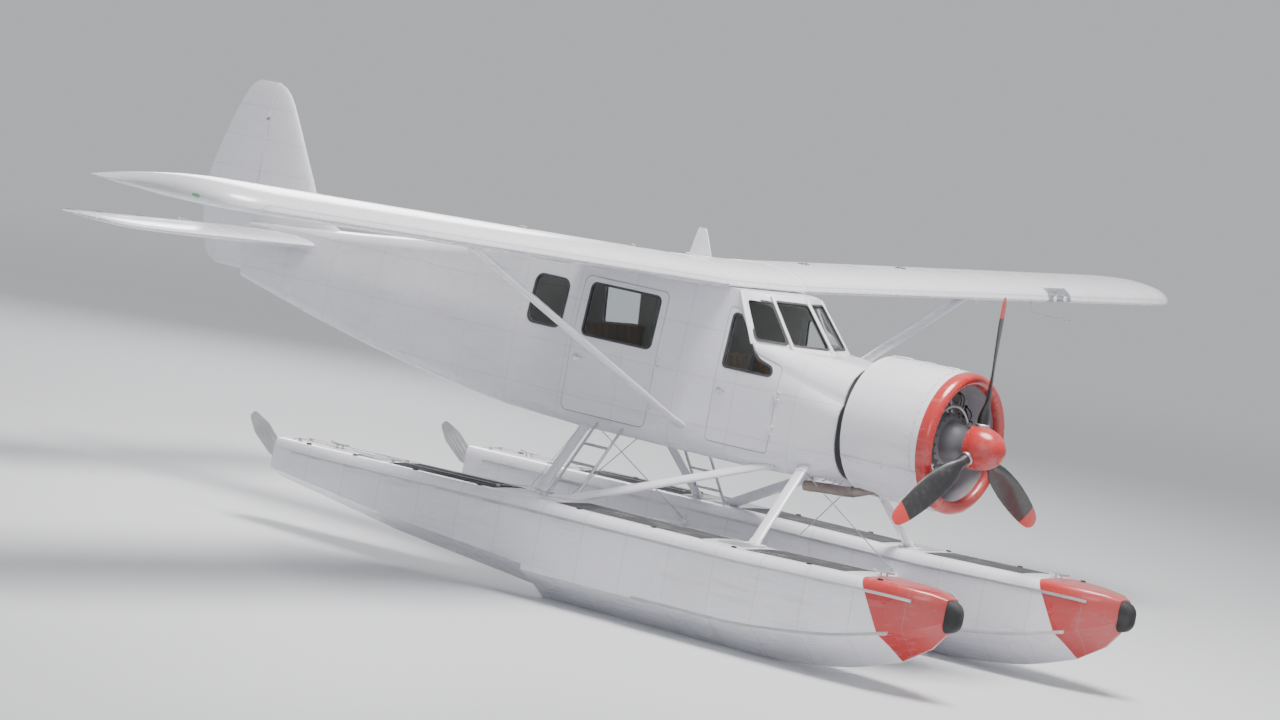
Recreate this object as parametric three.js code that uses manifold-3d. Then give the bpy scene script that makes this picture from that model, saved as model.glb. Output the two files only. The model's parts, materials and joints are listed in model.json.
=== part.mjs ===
// A single-engine, high-wing bush plane on twin floats, standing on its float keels.
// Millimetres. +Z is up, the nose points to -Y, the plane's own left side is at +X.
// The origin lies on the ground, in the middle of the plane's length and span.
import * as THREE from "three";
import { mergeVertices } from "three/addons/utils/BufferGeometryUtils.js";
import Module from "manifold-3d";

const wasm = await Module();
wasm.setup();

// Driving dimensions of the whole plane.
const LENGTH = 9980; // bow bumper to rudder trailing edge
const HALF_SPAN = 7315;
const REAR_END = LENGTH / 2;
const BOW_END = -LENGTH / 2;
const SEAT = 0.3; // the gap between a piece and what it rests on
const RUNNING_GAP = 6; // the gap round a piece that moves

// Wing.
const WING_CHORD = 1590;
const WING_THICKNESS = 0.14; // of the chord
const WING_FRONT = -1600; // leading edge
const WING_HEIGHT = 2930; // chord line at the cabin
const WING_ROOT = 560; // half width of the middle section
const DIHEDRAL = THREE.MathUtils.degToRad(2);
const WING_HINGE = WING_FRONT + 0.72 * WING_CHORD; // flap and aileron hinge line
const FLAP_INNER = 780;
const FLAP_OUTER = 3900;
const AILERON_OUTER = 6860;
const RIB = 30; // the rib that stands between flap and aileron

// Cabin.
const WALL = 35;
const GLASS_FROM = 12; // depth of a pane's outer face below the skin
const GLASS_TO = 18;
const FIREWALL = -2900;
const CABIN_END = 700;
const BELLY = 1420;
const SHOULDER = 2200; // above it the cabin sides lean in
const ROOF = 2905;
const CABIN_HALF_WIDTH = 630;
const ROOF_HALF_WIDTH = 560;
const FLOOR = 1500;

// Engine and propeller.
const THRUST = 1980; // height of the propeller shaft
const COWL_FRONT = -3890;
const COWL_REAR = -2990;
const COWL_RADIUS = 612;
const COWL_SKIN = 10;
const CYLINDERS = 9;
const CYLINDER_ROW = -3500;
const PROPELLER_PLANE = -4000;
const PROPELLER_RADIUS = 1295;
const BLADES = 3;
const SPINNER_RADIUS = 190;
const SPINNER_TIP = -4250;

// Tail.
const STABILIZER_HEIGHT = 2430;
const ELEVATOR_HINGE = 4080;
const RUDDER_HINGE = 4330;
const TAIL_HALF_SPAN = 2500;
const FIN_TOP = 3850;

// Floats.
const FLOAT_CENTRE = 1400;
const STEP = -800;
const STERN = 2300;
const KEEL_STRIP = 15; // half width of the flat strip it stands on
const POST = 2345; // steering axis of a water rudder

const colours = {
  white: [0xe9e7ef, 0.35, 0.1],
  red: [0xb3322f, 0.35, 0.1],
  grey: [0x8d9096, 0.5, 0.3],
  metal: [0xb9bcc2, 0.35, 0.9],
  dark: [0x24262a, 0.6, 0.2],
  rubber: [0x17181a, 0.85, 0],
  glass: [0x9fb4bf, 0.05, 0],
  fabric: [0x5b4a3e, 0.9, 0],
};

const material = (name) => {
  const [color, roughness, metalness] = colours[name];
  return new THREE.MeshStandardMaterial({ color, roughness, metalness });
};

// Rows of numbers as objects, with the columns' names as keys.
const table = (columns, rows) =>
  rows.map((row) => Object.fromEntries(columns.map((column, i) => [column, row[i]])));

// Turns a closed geometry into a solid that can be joined and cut.
function solid(geometry) {
  const bare = geometry.clone();
  for (const name of ["normal", "uv"]) bare.deleteAttribute(name);
  const merged = mergeVertices(bare, 1e-3);
  return new wasm.Manifold(
    new wasm.Mesh({
      numProp: 3,
      vertProperties: Float32Array.from(merged.attributes.position.array),
      triVerts: Uint32Array.from(merged.index.array),
    }),
  );
}

function geometryOf(made) {
  const mesh = made.getMesh();
  return new THREE.BufferGeometry()
    .setAttribute("position", new THREE.BufferAttribute(mesh.vertProperties.slice(), 3))
    .setIndex(new THREE.BufferAttribute(mesh.triVerts.slice(), 1));
}

const join = (...solids) => solids.reduce((all, next) => all.add(next));
const cut = (from, ...tools) => tools.reduce((left, tool) => left.subtract(tool), from);
const shifted = (made, x, y, z) => solid(geometryOf(made).translate(x, y, z));
const mirrored = (made) => {
  const g = geometryOf(made).scale(-1, 1, 1);
  const index = g.index.array;
  for (let i = 0; i < index.length; i += 3) [index[i], index[i + 1]] = [index[i + 1], index[i]];
  return solid(g);
};

function box(xMin, xMax, yMin, yMax, zMin, zMax) {
  return solid(
    new THREE.BoxGeometry(xMax - xMin, yMax - yMin, zMax - zMin).translate(
      (xMin + xMax) / 2,
      (yMin + yMax) / 2,
      (zMin + zMax) / 2,
    ),
  );
}

// A round rod between two points.
function rod(from, to, radius, sides = 12) {
  const [a, b] = [new THREE.Vector3(...from), new THREE.Vector3(...to)];
  const along = b.clone().sub(a);
  const turn = new THREE.Quaternion().setFromUnitVectors(
    new THREE.Vector3(0, 1, 0),
    along.clone().normalize(),
  );
  return solid(
    new THREE.CylinderGeometry(radius, radius, along.length(), sides)
      .applyQuaternion(turn)
      .translate(...a.add(b).multiplyScalar(0.5).toArray()),
  );
}

// The hole for such a rod: its flats stay clear of the rod's corners however far the rod turns.
const roundHole = (from, to, radius, sides = 12) =>
  rod(from, to, (radius + SEAT) / Math.cos(Math.PI / sides), sides);

// A round bent tube: rods along a line of points, with balls at its bends.
function bentRod(line, radius, sides = 12) {
  const ball = ([x, y, z]) => fromFaces(new THREE.SphereGeometry(radius, sides, sides / 2)).at(x, y, z);
  return join(
    ...line.slice(1).map((to, i) => rod(line[i], to, radius, sides)),
    ...line.slice(1, -1).map(ball),
  );
}

// A streamlined bar between two points, its wide way along the flight direction.
function bar(from, to, chord, thickness) {
  const [a, b] = [new THREE.Vector3(...from), new THREE.Vector3(...to)];
  const along = b.clone().sub(a);
  const length = along.length();
  along.normalize();
  const wide = new THREE.Vector3(0, 1, 0).addScaledVector(along, -along.y).normalize();
  const thin = new THREE.Vector3().crossVectors(along, wide);
  const outline = new THREE.Shape();
  outline.absellipse(0, 0, chord / 2, thickness / 2, 0, 2 * Math.PI);
  const frame = new THREE.Matrix4().makeBasis(wide, thin, along).setPosition(a);
  return solid(
    new THREE.ExtrudeGeometry(outline, {
      depth: length,
      bevelEnabled: false,
      curveSegments: 6,
    }).applyMatrix4(frame),
  );
}

// A solid of revolution about the propeller shaft: profile points are [radius, y].
function turned(profile, sides = 36) {
  const points = profile.map(([radius, y]) => new THREE.Vector2(radius, y));
  return fromFaces(new THREE.LatheGeometry(points, sides)).at(0, 0, THRUST);
}

// Makes the faces of a closed geometry point outwards, then a solid of it.
function fromFaces(geometry) {
  const bare = geometry.clone();
  for (const name of ["normal", "uv"]) bare.deleteAttribute(name);
  const merged = mergeVertices(bare, 1e-3);
  const kept = [];
  const index = merged.index.array;
  for (let i = 0; i < index.length; i += 3) {
    const [a, b, c] = [index[i], index[i + 1], index[i + 2]];
    if (a !== b && b !== c && c !== a) kept.push(a, b, c);
  }
  const p = merged.attributes.position;
  const corner = [0, 1, 2].map(() => new THREE.Vector3());
  let volume = 0;
  for (let i = 0; i < kept.length; i += 3) {
    corner.forEach((v, k) => v.fromBufferAttribute(p, kept[i + k]));
    volume += corner[0].dot(corner[1].clone().cross(corner[2]));
  }
  if (volume < 0)
    for (let i = 0; i < kept.length; i += 3) [kept[i], kept[i + 1]] = [kept[i + 1], kept[i]];
  merged.setIndex(kept);
  return { at: (x, y, z) => solid(merged.translate(x, y, z)), geometry: merged };
}

// Joins sections, which are rings of points of equal count, into one closed solid.
function loft(sections) {
  const count = sections[0].length;
  const points = sections.flat();
  const faces = [];
  for (let s = 0; s + 1 < sections.length; s++)
    for (let i = 0; i < count; i++) {
      const [a, b] = [s * count + i, s * count + ((i + 1) % count)];
      faces.push(a, b, b + count, a, b + count, a + count);
    }
  [0, sections.length - 1].forEach((s) => {
    const middle = points.length;
    const sum = new THREE.Vector3();
    sections[s].forEach((point) => sum.add(point));
    points.push(sum.divideScalar(count));
    for (let i = 0; i < count; i++) {
      const [a, b] = [s * count + i, s * count + ((i + 1) % count)];
      if (s === 0) faces.push(b, a, middle);
      else faces.push(a, b, middle);
    }
  });
  return fromFaces(new THREE.BufferGeometry().setFromPoints(points).setIndex(faces)).at(0, 0, 0);
}

// A prism: an outline of points in space, pushed both ways along a direction.
function prism(outline, direction, back, forth) {
  const way = new THREE.Vector3(...direction).normalize();
  return loft(
    [-back, forth].map((d) => outline.map((p) => p.clone().addScaledVector(way, d))),
  );
}

// A side outline [y, z] pushed along X.
function sidePrism(outline, xMin, xMax) {
  const points = outline.map(([y, z]) => new THREE.Vector3(0, y, z));
  return loft([xMin, xMax].map((x) => points.map((p) => p.clone().setX(x))));
}

// Moves each edge of a [y, z] outline outwards by a distance (inwards if negative).
function grown(outline, distance) {
  const area = outline.reduce((sum, [y, z], i) => {
    const [y2, z2] = outline[(i + 1) % outline.length];
    return sum + y * z2 - y2 * z;
  }, 0);
  const side = Math.sign(area) * distance;
  const normal = ([y1, z1], [y2, z2]) => {
    const l = Math.hypot(y2 - y1, z2 - z1);
    return [(z2 - z1) / l, -(y2 - y1) / l];
  };
  return outline.map((point, i) => {
    const before = outline[(i + outline.length - 1) % outline.length];
    const after = outline[(i + 1) % outline.length];
    const [n1, n2] = [normal(before, point), normal(point, after)];
    const scale = side / (1 + n1[0] * n2[0] + n1[1] * n2[1]);
    return [point[0] + (n1[0] + n2[0]) * scale, point[1] + (n1[1] + n2[1]) * scale];
  });
}

// Cuts a piece by its neighbour, with the seat gap on the side that the piece comes from.
function seated(piece, neighbour, x, y, z) {
  return cut(piece, neighbour, shifted(neighbour, x * SEAT, y * SEAT, z * SEAT));
}

// Fuselage sections: sides that are upright to the shoulder and lean in above it.
const bodySection = (row, inset, corner = 4) => {
  const [half, top] = [row.half - inset, row.topHalf - inset];
  const [low, high] = [row.low + inset, row.high - inset];
  const lowRadius = Math.max(row.lowRadius - inset, 8);
  const highRadius = Math.max(row.highRadius - inset, 4);
  const right = [];
  for (let i = 0; i <= corner; i++) {
    const angle = -Math.PI / 2 + (i / corner) * (Math.PI / 2);
    right.push([
      half - lowRadius + lowRadius * Math.cos(angle),
      low + lowRadius + lowRadius * Math.sin(angle),
    ]);
  }
  right.push([half, row.shoulder]);
  for (let i = 0; i <= corner; i++) {
    const angle = (i / corner) * (Math.PI / 2);
    right.push([
      top - highRadius + highRadius * Math.cos(angle),
      high - highRadius + highRadius * Math.sin(angle),
    ]);
  }
  const left = right.map(([x, z]) => [-x, z]).reverse();
  return [...right, ...left].map(([x, z]) => new THREE.Vector3(x, row.y, z));
};

const sideX = (z) =>
  CABIN_HALF_WIDTH -
  ((z - SHOULDER) * (CABIN_HALF_WIDTH - ROOF_HALF_WIDTH)) / (ROOF - SHOULDER);

const DECK = 2480; // top of the nose ahead of the windshield
const NOSE_SECTIONS = table(["y", "half", "low", "shoulder", "topHalf", "high", "lowRadius", "highRadius"], [
  [FIREWALL, 545, 1470, 2060, 490, 2450, 400, 330],
  [-2440, 600, 1430, 2150, 560, DECK, 220, 230],
  [-1980, 630, BELLY, SHOULDER, sideX(DECK), DECK, 150, 60],
  [-1690, 630, BELLY, SHOULDER, sideX(DECK), DECK, 150, 6],
]);
const CABIN_SECTIONS = table(["y", "half", "low", "shoulder", "topHalf", "high", "lowRadius", "highRadius"], [
  [-1700, 630, BELLY, SHOULDER, 560, ROOF, 150, 20],
  [-200, 630, BELLY, SHOULDER, 560, ROOF, 150, 40],
  [CABIN_END, 580, 1450, SHOULDER, 500, 2880, 150, 90],
]);
const TAIL_SECTIONS = table(["y", "half", "low", "shoulder", "topHalf", "high", "lowRadius", "highRadius"], [
  [CABIN_END + SEAT, 580, 1450, SHOULDER, 500, 2880, 150, 90],
  [1900, 420, 1570, 2200, 330, 2740, 130, 110],
  [3100, 250, 1750, 2200, 185, 2610, 90, 80],
  [RUDDER_HINGE, 70, 1990, 2260, 60, 2520, 40, 35],
]);

// The windshield house, from its base outline up to the roof: rows are [x, y at the base, y at the roof].
const HOUSE_BASE = 2400;
const HOUSE_CORNERS = [
  { base: [0, -2470], roof: [0, -2010] },
  { base: [440, -2330], roof: [380, -1900] },
  { base: [sideX(HOUSE_BASE), -1980], roof: [ROOF_HALF_WIDTH, -1705] },
  { base: [sideX(HOUSE_BASE), -1690], roof: [ROOF_HALF_WIDTH, -1690] },
];

function house(inset) {
  const place = (key, z) => {
    const half = HOUSE_CORNERS.map(({ [key]: [x, y] }, i) => {
      const back = inset * [1.35, 1.3, 0.7, 0][i];
      return [x === 0 ? 0 : x - inset * [0, 0.9, 1.02, 1.02][i], y + back];
    });
    const other = half.slice(1).map(([x, y]) => [-x, y]).reverse();
    return [...half, ...other].map(([x, y]) => new THREE.Vector3(x, y, z));
  };
  return loft([place("base", HOUSE_BASE), place("roof", ROOF - inset)]);
}

// The outer form of nose, windshield house and cabin, moved inwards by an inset.
function cabinForm(inset, open = 0) {
  const stretch = (rows, front, rear) =>
    rows.map((row, i) => {
      const y = row.y - (i === 0 ? front : 0) + (i === rows.length - 1 ? rear : 0);
      return bodySection({ ...row, y }, inset);
    });
  return join(
    loft(stretch(NOSE_SECTIONS, open, 0)),
    loft(stretch(CABIN_SECTIONS, 0, open)),
    house(inset),
  );
}

const cabinOuter = cabinForm(0);
const cabinInner = cabinForm(WALL, 20);
const cabinFit = cabinForm(WALL + SEAT, 0);
const glassLayer = cut(cabinForm(GLASS_FROM), cabinForm(GLASS_TO, 20));

// Doors and side windows of the left side, as [y, z] outlines.
const FRONT_DOOR = [
  [-2290, 1570], [-1640, 1570], [-1640, 2750], [-1745, 2750], [-2010, 2400], [-2290, 2330],
];
const FRONT_DOOR_WINDOW = [
  [-2190, 2235], [-1700, 2235], [-1700, 2690], [-1775, 2690], [-2030, 2350], [-2190, 2300],
];
// An upright box with its corners cut off.
const eightSided = (front, rear, low, high, corner) => [
  [front, low + corner], [front + corner, low], [rear - corner, low], [rear, low + corner],
  [rear, high - corner], [rear - corner, high], [front + corner, high], [front, high - corner],
];
const CABIN_DOOR = eightSided(-990, -50, 1540, 2750, 50);
const CABIN_DOOR_WINDOW = eightSided(-900, -150, 2235, 2685, 42);
const REAR_WINDOW = eightSided(120, 500, 2240, 2660, 60);
const [CUT_FROM, CUT_TO] = [380, 760];

// A pane's place on one face of the windshield house, between two corners.
function housePane(corner, from, to, low, high) {
  const [a, b] = [HOUSE_CORNERS[corner], HOUSE_CORNERS[corner + 1]];
  const at = (u, z) => {
    const v = (z - HOUSE_BASE) / (ROOF - HOUSE_BASE);
    const edge = ({ base, roof }) =>
      new THREE.Vector3(...base, HOUSE_BASE).lerp(new THREE.Vector3(...roof, ROOF), v);
    return edge(a).lerp(edge(b), u);
  };
  const points = [at(from, low), at(to, low), at(to, high), at(from, high)];
  const normal = points[1].clone().sub(points[0]).cross(points[3].clone().sub(points[0]));
  return (margin) => {
    const middle = new THREE.Vector3();
    points.forEach((p) => middle.addScaledVector(p, 1 / 4));
    const moved = points.map((p) => {
      const out = p.clone().sub(middle);
      return p.clone().addScaledVector(out.normalize(), margin);
    });
    return prism(moved, normal.toArray(), 60, 60);
  };
}
const windshieldPane = housePane(0, 0.06, 0.95, 2520, 2850);
const quarterPane = housePane(1, 0.1, 0.86, 2520, 2830);
const PANE_SEAT = -0.5;

const bothSides = (made) => join(made, mirrored(made));
const openSide = (outline) => bothSides(sidePrism(outline, CUT_FROM, CUT_TO));

// A door hinge: the frame holds the pin and two lugs, the door holds the barrel between them.
const HINGE_OFFSET = 14;
const BARREL_RADIUS = 9;
const BARREL_HALF = 25;
function hinge(x, y, z) {
  const [pin, sides] = [4, 8];
  const lug = (from, to) => join(
    rod([x, y, from], [x, y, to], BARREL_RADIUS, sides),
    box(x - HINGE_OFFSET - 6, x + 4, y - 34, y - 2, from, to),
  );
  const fixed = join(
    rod([x, y, z - BARREL_HALF - 12], [x, y, z + BARREL_HALF + 12], pin, sides),
    lug(z - BARREL_HALF - 15, z - BARREL_HALF - SEAT),
    lug(z + BARREL_HALF + SEAT, z + BARREL_HALF + 15),
  );
  const barrel = join(
    rod([x, y, z - BARREL_HALF], [x, y, z + BARREL_HALF], BARREL_RADIUS, sides),
    box(x - HINGE_OFFSET - 6, x + 4, y + 5, y + 36, z - BARREL_HALF, z + BARREL_HALF),
  );
  const hole = roundHole([x, y, z - 60], [x, y, z + 60], pin, sides);
  return { fixed, moving: cut(barrel, hole) };
}

// Door axes: x and y of the pins, and the heights of the two hinges.
const DOORS = {
  front: {
    outline: FRONT_DOOR, window: FRONT_DOOR_WINDOW,
    x: 610 + HINGE_OFFSET, y: -2293, heights: [1780, 2080],
  },
  cabin: {
    outline: CABIN_DOOR, window: CABIN_DOOR_WINDOW,
    x: CABIN_HALF_WIDTH + HINGE_OFFSET, y: -993, heights: [1750, 2130],
  },
};

const pieces = new THREE.Group();
const leftPieces = new THREE.Group();
function add(group, name, made, colour) {
  const mesh = new THREE.Mesh(made.isBufferGeometry ? made : geometryOf(made), material(colour));
  mesh.name = name;
  group.add(mesh);
  return mesh;
}

// Wing profile at one place along the span: chord line at height 0, points run round the section.
const PROFILE_STEPS = 9;
function profile(x, front, chord, thickness, upper = 1.5, lower = 0.5, grow = 0) {
  const half = (s) =>
    5 * thickness * (0.2969 * Math.sqrt(s) - 0.126 * s - 0.3516 * s ** 2 + 0.2843 * s ** 3 - 0.1036 * s ** 4);
  const along = Array.from({ length: PROFILE_STEPS + 1 }, (_, i) =>
    (1 - Math.cos((i / PROFILE_STEPS) * Math.PI)) / 2);
  const edge = 2; // half the thickness of the blunt trailing edge
  const top = along.map((s) => [front + s * chord, upper * half(s) * chord + s * edge + (s && grow)]);
  const under = along.slice(1).map((s) => [front + s * chord, -lower * half(s) * chord - s * edge - grow]);
  return [...top, ...under.reverse()].map(([y, z], i) => {
    const ends = i === 0 ? -grow : i === PROFILE_STEPS || i === PROFILE_STEPS + 1 ? grow : 0;
    return new THREE.Vector3(x, y + ends, z);
  });
}

// Splits a wing or tail surface at a hinge line along X, and gives both halves a round joint.
// A lip distance above 0 trims the fixed half's lower skin that far ahead of the hinge.
function split(whole, hingeY, hingeZ, radius, from, to, endGap, pins, lip = 0) {
  const far = 3000;
  const nose = (r, a, b) => rod([a, hingeY, hingeZ], [b, hingeY, hingeZ], r, 20);
  const behind = (a, b) => box(a, b, hingeY, hingeY + far, hingeZ - far, hingeZ + far);
  const cove = 10;
  let fixed = cut(whole, behind(from, to), nose(radius + cove, from, to));
  if (lip) fixed = cut(fixed, box(from, to, hingeY - lip, hingeY, hingeZ - far, hingeZ - radius / 2));
  let moving = join(
    whole.intersect(behind(from + endGap, to - endGap)),
    whole.intersect(nose(radius, from + endGap, to - endGap)),
  );
  const pinRadius = 8;
  const pinLength = 40;
  for (const [root, way] of pins) {
    const tip = root + way * (endGap + pinLength);
    fixed = fixed.add(rod([root - way * 10, hingeY, hingeZ], [tip, hingeY, hingeZ], pinRadius));
    moving = moving.subtract(
      roundHole([root, hingeY, hingeZ], [tip + way * 5, hingeY, hingeZ], pinRadius),
    );
  }
  return { fixed, moving };
}

// Hinge brackets along a hinge line: a plate from the fixed half carries a pin that turns in the moving half.
function bracketed({ fixed, moving }, hingeY, hingeZ, places) {
  const [plateHalf, notchHalf, pinRadius, pinHalf] = [9, 15, 8, 45];
  for (const x of places) {
    fixed = join(
      fixed,
      box(x - plateHalf, x + plateHalf, hingeY - 75, hingeY + 12, hingeZ - 12, hingeZ + 12),
      rod([x - pinHalf, hingeY, hingeZ], [x + pinHalf, hingeY, hingeZ], pinRadius),
    );
    moving = cut(
      moving,
      box(x - notchHalf, x + notchHalf, hingeY - 80, hingeY + 25, hingeZ - 60, hingeZ + 60),
      roundHole([x - pinHalf - 5, hingeY, hingeZ], [x + pinHalf + 5, hingeY, hingeZ], pinRadius),
    );
  }
  return { fixed, moving };
}

// Wing: the middle section over the cabin, and the left panel in a frame of its own.
const centreSection = (grow) =>
  loft(
    [-1, 1].map((side) =>
      profile(side * (WING_ROOT + grow), WING_FRONT, WING_CHORD, WING_THICKNESS, 1.5, 0.5, grow).map(
        (p) => p.setZ(p.z + WING_HEIGHT),
      ),
    ),
  );
const wingCentre = centreSection(0);

const WING_SECTIONS = table(["x", "front", "chord", "thickness"], [
  [7, WING_FRONT, WING_CHORD, WING_THICKNESS],
  [6250, WING_FRONT, WING_CHORD, WING_THICKNESS],
  [6420, WING_FRONT + 25, WING_CHORD - 45, 0.138],
  [6580, WING_FRONT + 90, WING_CHORD - 140, 0.13],
  [6660, WING_FRONT + 160, WING_CHORD - 260, 0.115],
  [6710, WING_FRONT + 260, WING_CHORD - 430, 0.095],
  [6740, WING_FRONT + 370, WING_CHORD - 630, 0.065],
  [HALF_SPAN - WING_ROOT, WING_FRONT + 500, WING_CHORD - 900, 0.04],
]);
const wingWhole = loft(
  WING_SECTIONS.map(({ x, front, chord, thickness }) => profile(x, front, chord, thickness)),
);
const HINGE_HALF = 64; // half the wing's thickness at the hinge line
const HINGE_RISE = 32; // of the hinge axis above the chord line
const FLAP_LIP = 58; // from the wing's lower lip to the hinge line
const inPanel = (x) => x - WING_ROOT;
const flapCut = split(
  wingWhole, WING_HINGE, HINGE_RISE, HINGE_HALF - 4,
  inPanel(FLAP_INNER), inPanel(FLAP_OUTER), RUNNING_GAP,
  [[inPanel(FLAP_INNER), 1], [inPanel(FLAP_OUTER), -1]], FLAP_LIP,
);
const aileronCut = split(
  flapCut.fixed, WING_HINGE, HINGE_RISE, HINGE_HALF - 4,
  inPanel(FLAP_OUTER + RIB), inPanel(AILERON_OUTER), RUNNING_GAP,
  [[inPanel(FLAP_OUTER + RIB), 1], [inPanel(AILERON_OUTER), -1]],
);
const wingFrame = new THREE.Matrix4().makeRotationY(-DIHEDRAL).setPosition(WING_ROOT, 0, WING_HEIGHT);
const leftWing = new THREE.Group();
leftWing.applyMatrix4(wingFrame);
leftPieces.add(leftWing);
add(leftWing, "wing_left", aileronCut.fixed, "white");
add(leftWing, "flap_left", flapCut.moving, "white");
add(leftWing, "aileron_left", aileronCut.moving, "white");
// A blade aerial stands on the middle section.
const aerial = sidePrism([[-960, 3050], [-700, 3050], [-760, 3330], [-840, 3330]], -7, 7);
add(pieces, "wing_centre", join(wingCentre, aerial), "white");

// Tail: fuselage cone, stabilizer with elevator, fin with rudder.
const tailOuter = loft(TAIL_SECTIONS.map((row) => bodySection(row, 0)));
const tailHollow = loft(
  TAIL_SECTIONS.slice(0, 3).map((row, i) => bodySection({ ...row, y: row.y - (i === 0 ? 20 : 0) }, 22)),
);
const STABILIZER_SECTIONS = table(["x", "front", "rear", "thickness"], [
  [0, 3400, 4650, 0.09],
  [1500, 3480, 4640, 0.085],
  [2250, 3570, 4600, 0.075],
  [2430, 3680, 4540, 0.06],
  [TAIL_HALF_SPAN, 3850, 4420, 0.03],
]);
const tailHalf = loft(
  STABILIZER_SECTIONS.map(({ x, front, rear, thickness }) =>
    profile(x, front, rear - front, thickness, 1, 1).map((p) => p.setZ(p.z + STABILIZER_HEIGHT)),
  ),
);
const tailPlane = bothSides(tailHalf);
const ELEVATOR_RADIUS = 46;
const ELEVATOR_INNER = 135;
const TORQUE_TUBE = 22;
const elevatorCut = bracketed(
  split(
    tailPlane, ELEVATOR_HINGE, STABILIZER_HEIGHT, ELEVATOR_RADIUS,
    -TAIL_HALF_SPAN - 50, TAIL_HALF_SPAN + 50, 0, [],
  ),
  ELEVATOR_HINGE, STABILIZER_HEIGHT, [-1500, 1500],
);
const elevatorNotch = prism(
  [
    [-ELEVATOR_INNER, 3900], [ELEVATOR_INNER, 3900], [ELEVATOR_INNER, 4140],
    [380, 4900], [-380, 4900], [-ELEVATOR_INNER, 4140],
  ].map(([x, y]) => new THREE.Vector3(x, y, STABILIZER_HEIGHT)),
  [0, 0, 1], 300, 300,
);
const TUBE_SIDES = 16;
const torqueTube = (radius, half) => {
  const end = (x) => [x, ELEVATOR_HINGE, STABILIZER_HEIGHT];
  return rod(end(-half), end(half), radius, TUBE_SIDES);
};
const tubeHole = (TORQUE_TUBE + SEAT) / Math.cos(Math.PI / TUBE_SIDES);
const elevator = join(cut(elevatorCut.moving, elevatorNotch), torqueTube(TORQUE_TUBE, 200));

const FIN_SECTIONS = table(["z", "front", "rear", "thickness"], [
  [2060, 4200, 4770, 0.1],
  [2200, 4150, 4880, 0.1],
  [2500, 3000, 4965, 0.05],
  [2640, 3330, REAR_END, 0.06],
  [2900, 3620, 4970, 0.07],
  [3500, 3960, 4770, 0.09],
  [3750, 4120, 4650, 0.09],
  [FIN_TOP, 4260, 4530, 0.06],
]);
// The fin is made lying along X, as a wing is, then turned upright.
const upright = (made) => solid(geometryOf(made).applyMatrix4(
  new THREE.Matrix4().makeBasis(
    new THREE.Vector3(0, 0, 1), new THREE.Vector3(0, 1, 0), new THREE.Vector3(-1, 0, 0),
  ),
));
const finFlat = loft(
  FIN_SECTIONS.map(({ z, front, rear, thickness }) => profile(z, front, rear - front, thickness, 1, 1)),
);
const RUDDER_RADIUS = 34;
const finCut = bracketed(
  split(finFlat, RUDDER_HINGE, 0, RUDDER_RADIUS, 1900, 4000, 0, []),
  RUDDER_HINGE, 0, [2800, 3500],
);
const rudderWhole = upright(finCut.moving);
const finWhole = upright(finCut.fixed);
const rudderClearance = rod([0, RUDDER_HINGE, 1900], [0, RUDDER_HINGE, 4000], RUDDER_RADIUS + 8, 20);

const stabilizerSlot = cut(
  bothSides(loft(
    STABILIZER_SECTIONS.slice(0, 2).map(({ x, front, rear, thickness }) =>
      profile(x, front, rear - front, thickness, 1, 1, SEAT).map((p) => p.setZ(p.z + STABILIZER_HEIGHT)),
    ),
  )),
  box(-2000, 2000, ELEVATOR_HINGE - tubeHole, 5000, 2000, 3000),
);
const tailCone = cut(
  tailOuter, tailHollow, stabilizerSlot,
  torqueTube(tubeHole, 400),
  rudderClearance,
);
const stabilizer = cut(elevatorCut.fixed, torqueTube(TORQUE_TUBE + 8, 400));
const fin = cut(seated(finWhole, tailOuter, 0, 0, 1), box(-200, 200, 2900, 5000, 1900, 2530));
add(pieces, "tail_cone", tailCone, "white");
add(pieces, "stabilizer", stabilizer, "white");
add(pieces, "elevator", elevator, "white");
add(pieces, "fin", fin, "white");
add(pieces, "rudder", rudderWhole, "white");

// Cabin shell, its doors and glass.
const openings = [FRONT_DOOR, CABIN_DOOR, REAR_WINDOW].map(openSide);
let shell = cut(
  cut(cabinOuter, cabinInner), ...openings,
  centreSection(SEAT),
  bothSides(windshieldPane(0)), bothSides(quarterPane(0)),
);
const wallLayer = cut(cabinOuter, cabinInner);
for (const [name, door] of Object.entries(DOORS)) {
  const hinges = door.heights.map((z) => hinge(door.x, door.y, z));
  shell = join(shell, ...hinges.map((h) => bothSides(h.fixed)));
  const panel = cut(
    wallLayer.intersect(sidePrism(grown(door.outline, -RUNNING_GAP), CUT_FROM, CUT_TO)),
    sidePrism(door.window, CUT_FROM, CUT_TO),
  );
  add(leftPieces, name + "_door_left", join(panel, ...hinges.map((h) => h.moving)), "white");
}
// The oil cooler's scoop hangs under the left of the nose.
const SCOOP_X = 235;
const SCOOP_SECTIONS = table(["y", "half", "low", "high"], [
  [-2860, 75, 1385, 1530],
  [-2700, 82, 1372, 1520],
  [-2450, 72, 1385, 1500],
  [-2250, 40, 1412, 1470],
]);
const scoop = cut(
  loft(SCOOP_SECTIONS.map(({ y, half, low, high }) =>
    eightSided(-half, half, low, high, 25).map(([x, z]) => new THREE.Vector3(SCOOP_X + x, y, z)))),
  box(SCOOP_X - 62, SCOOP_X + 62, -2900, -2800, 1397, 1465),
  cabinInner,
);
add(pieces, "cabin_shell", join(shell, scoop), "white");
const SIDE_PANES = {
  front_door_glass_left: FRONT_DOOR_WINDOW,
  cabin_door_glass_left: CABIN_DOOR_WINDOW,
  rear_glass_left: REAR_WINDOW,
};
for (const [name, outline] of Object.entries(SIDE_PANES)) {
  const window = sidePrism(grown(outline, PANE_SEAT), CUT_FROM, CUT_TO);
  add(leftPieces, name, glassLayer.intersect(window), "glass");
}
add(leftPieces, "windshield_left", glassLayer.intersect(windshieldPane(PANE_SEAT)), "glass");
add(leftPieces, "quarter_glass_left", glassLayer.intersect(quarterPane(PANE_SEAT)), "glass");

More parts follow.
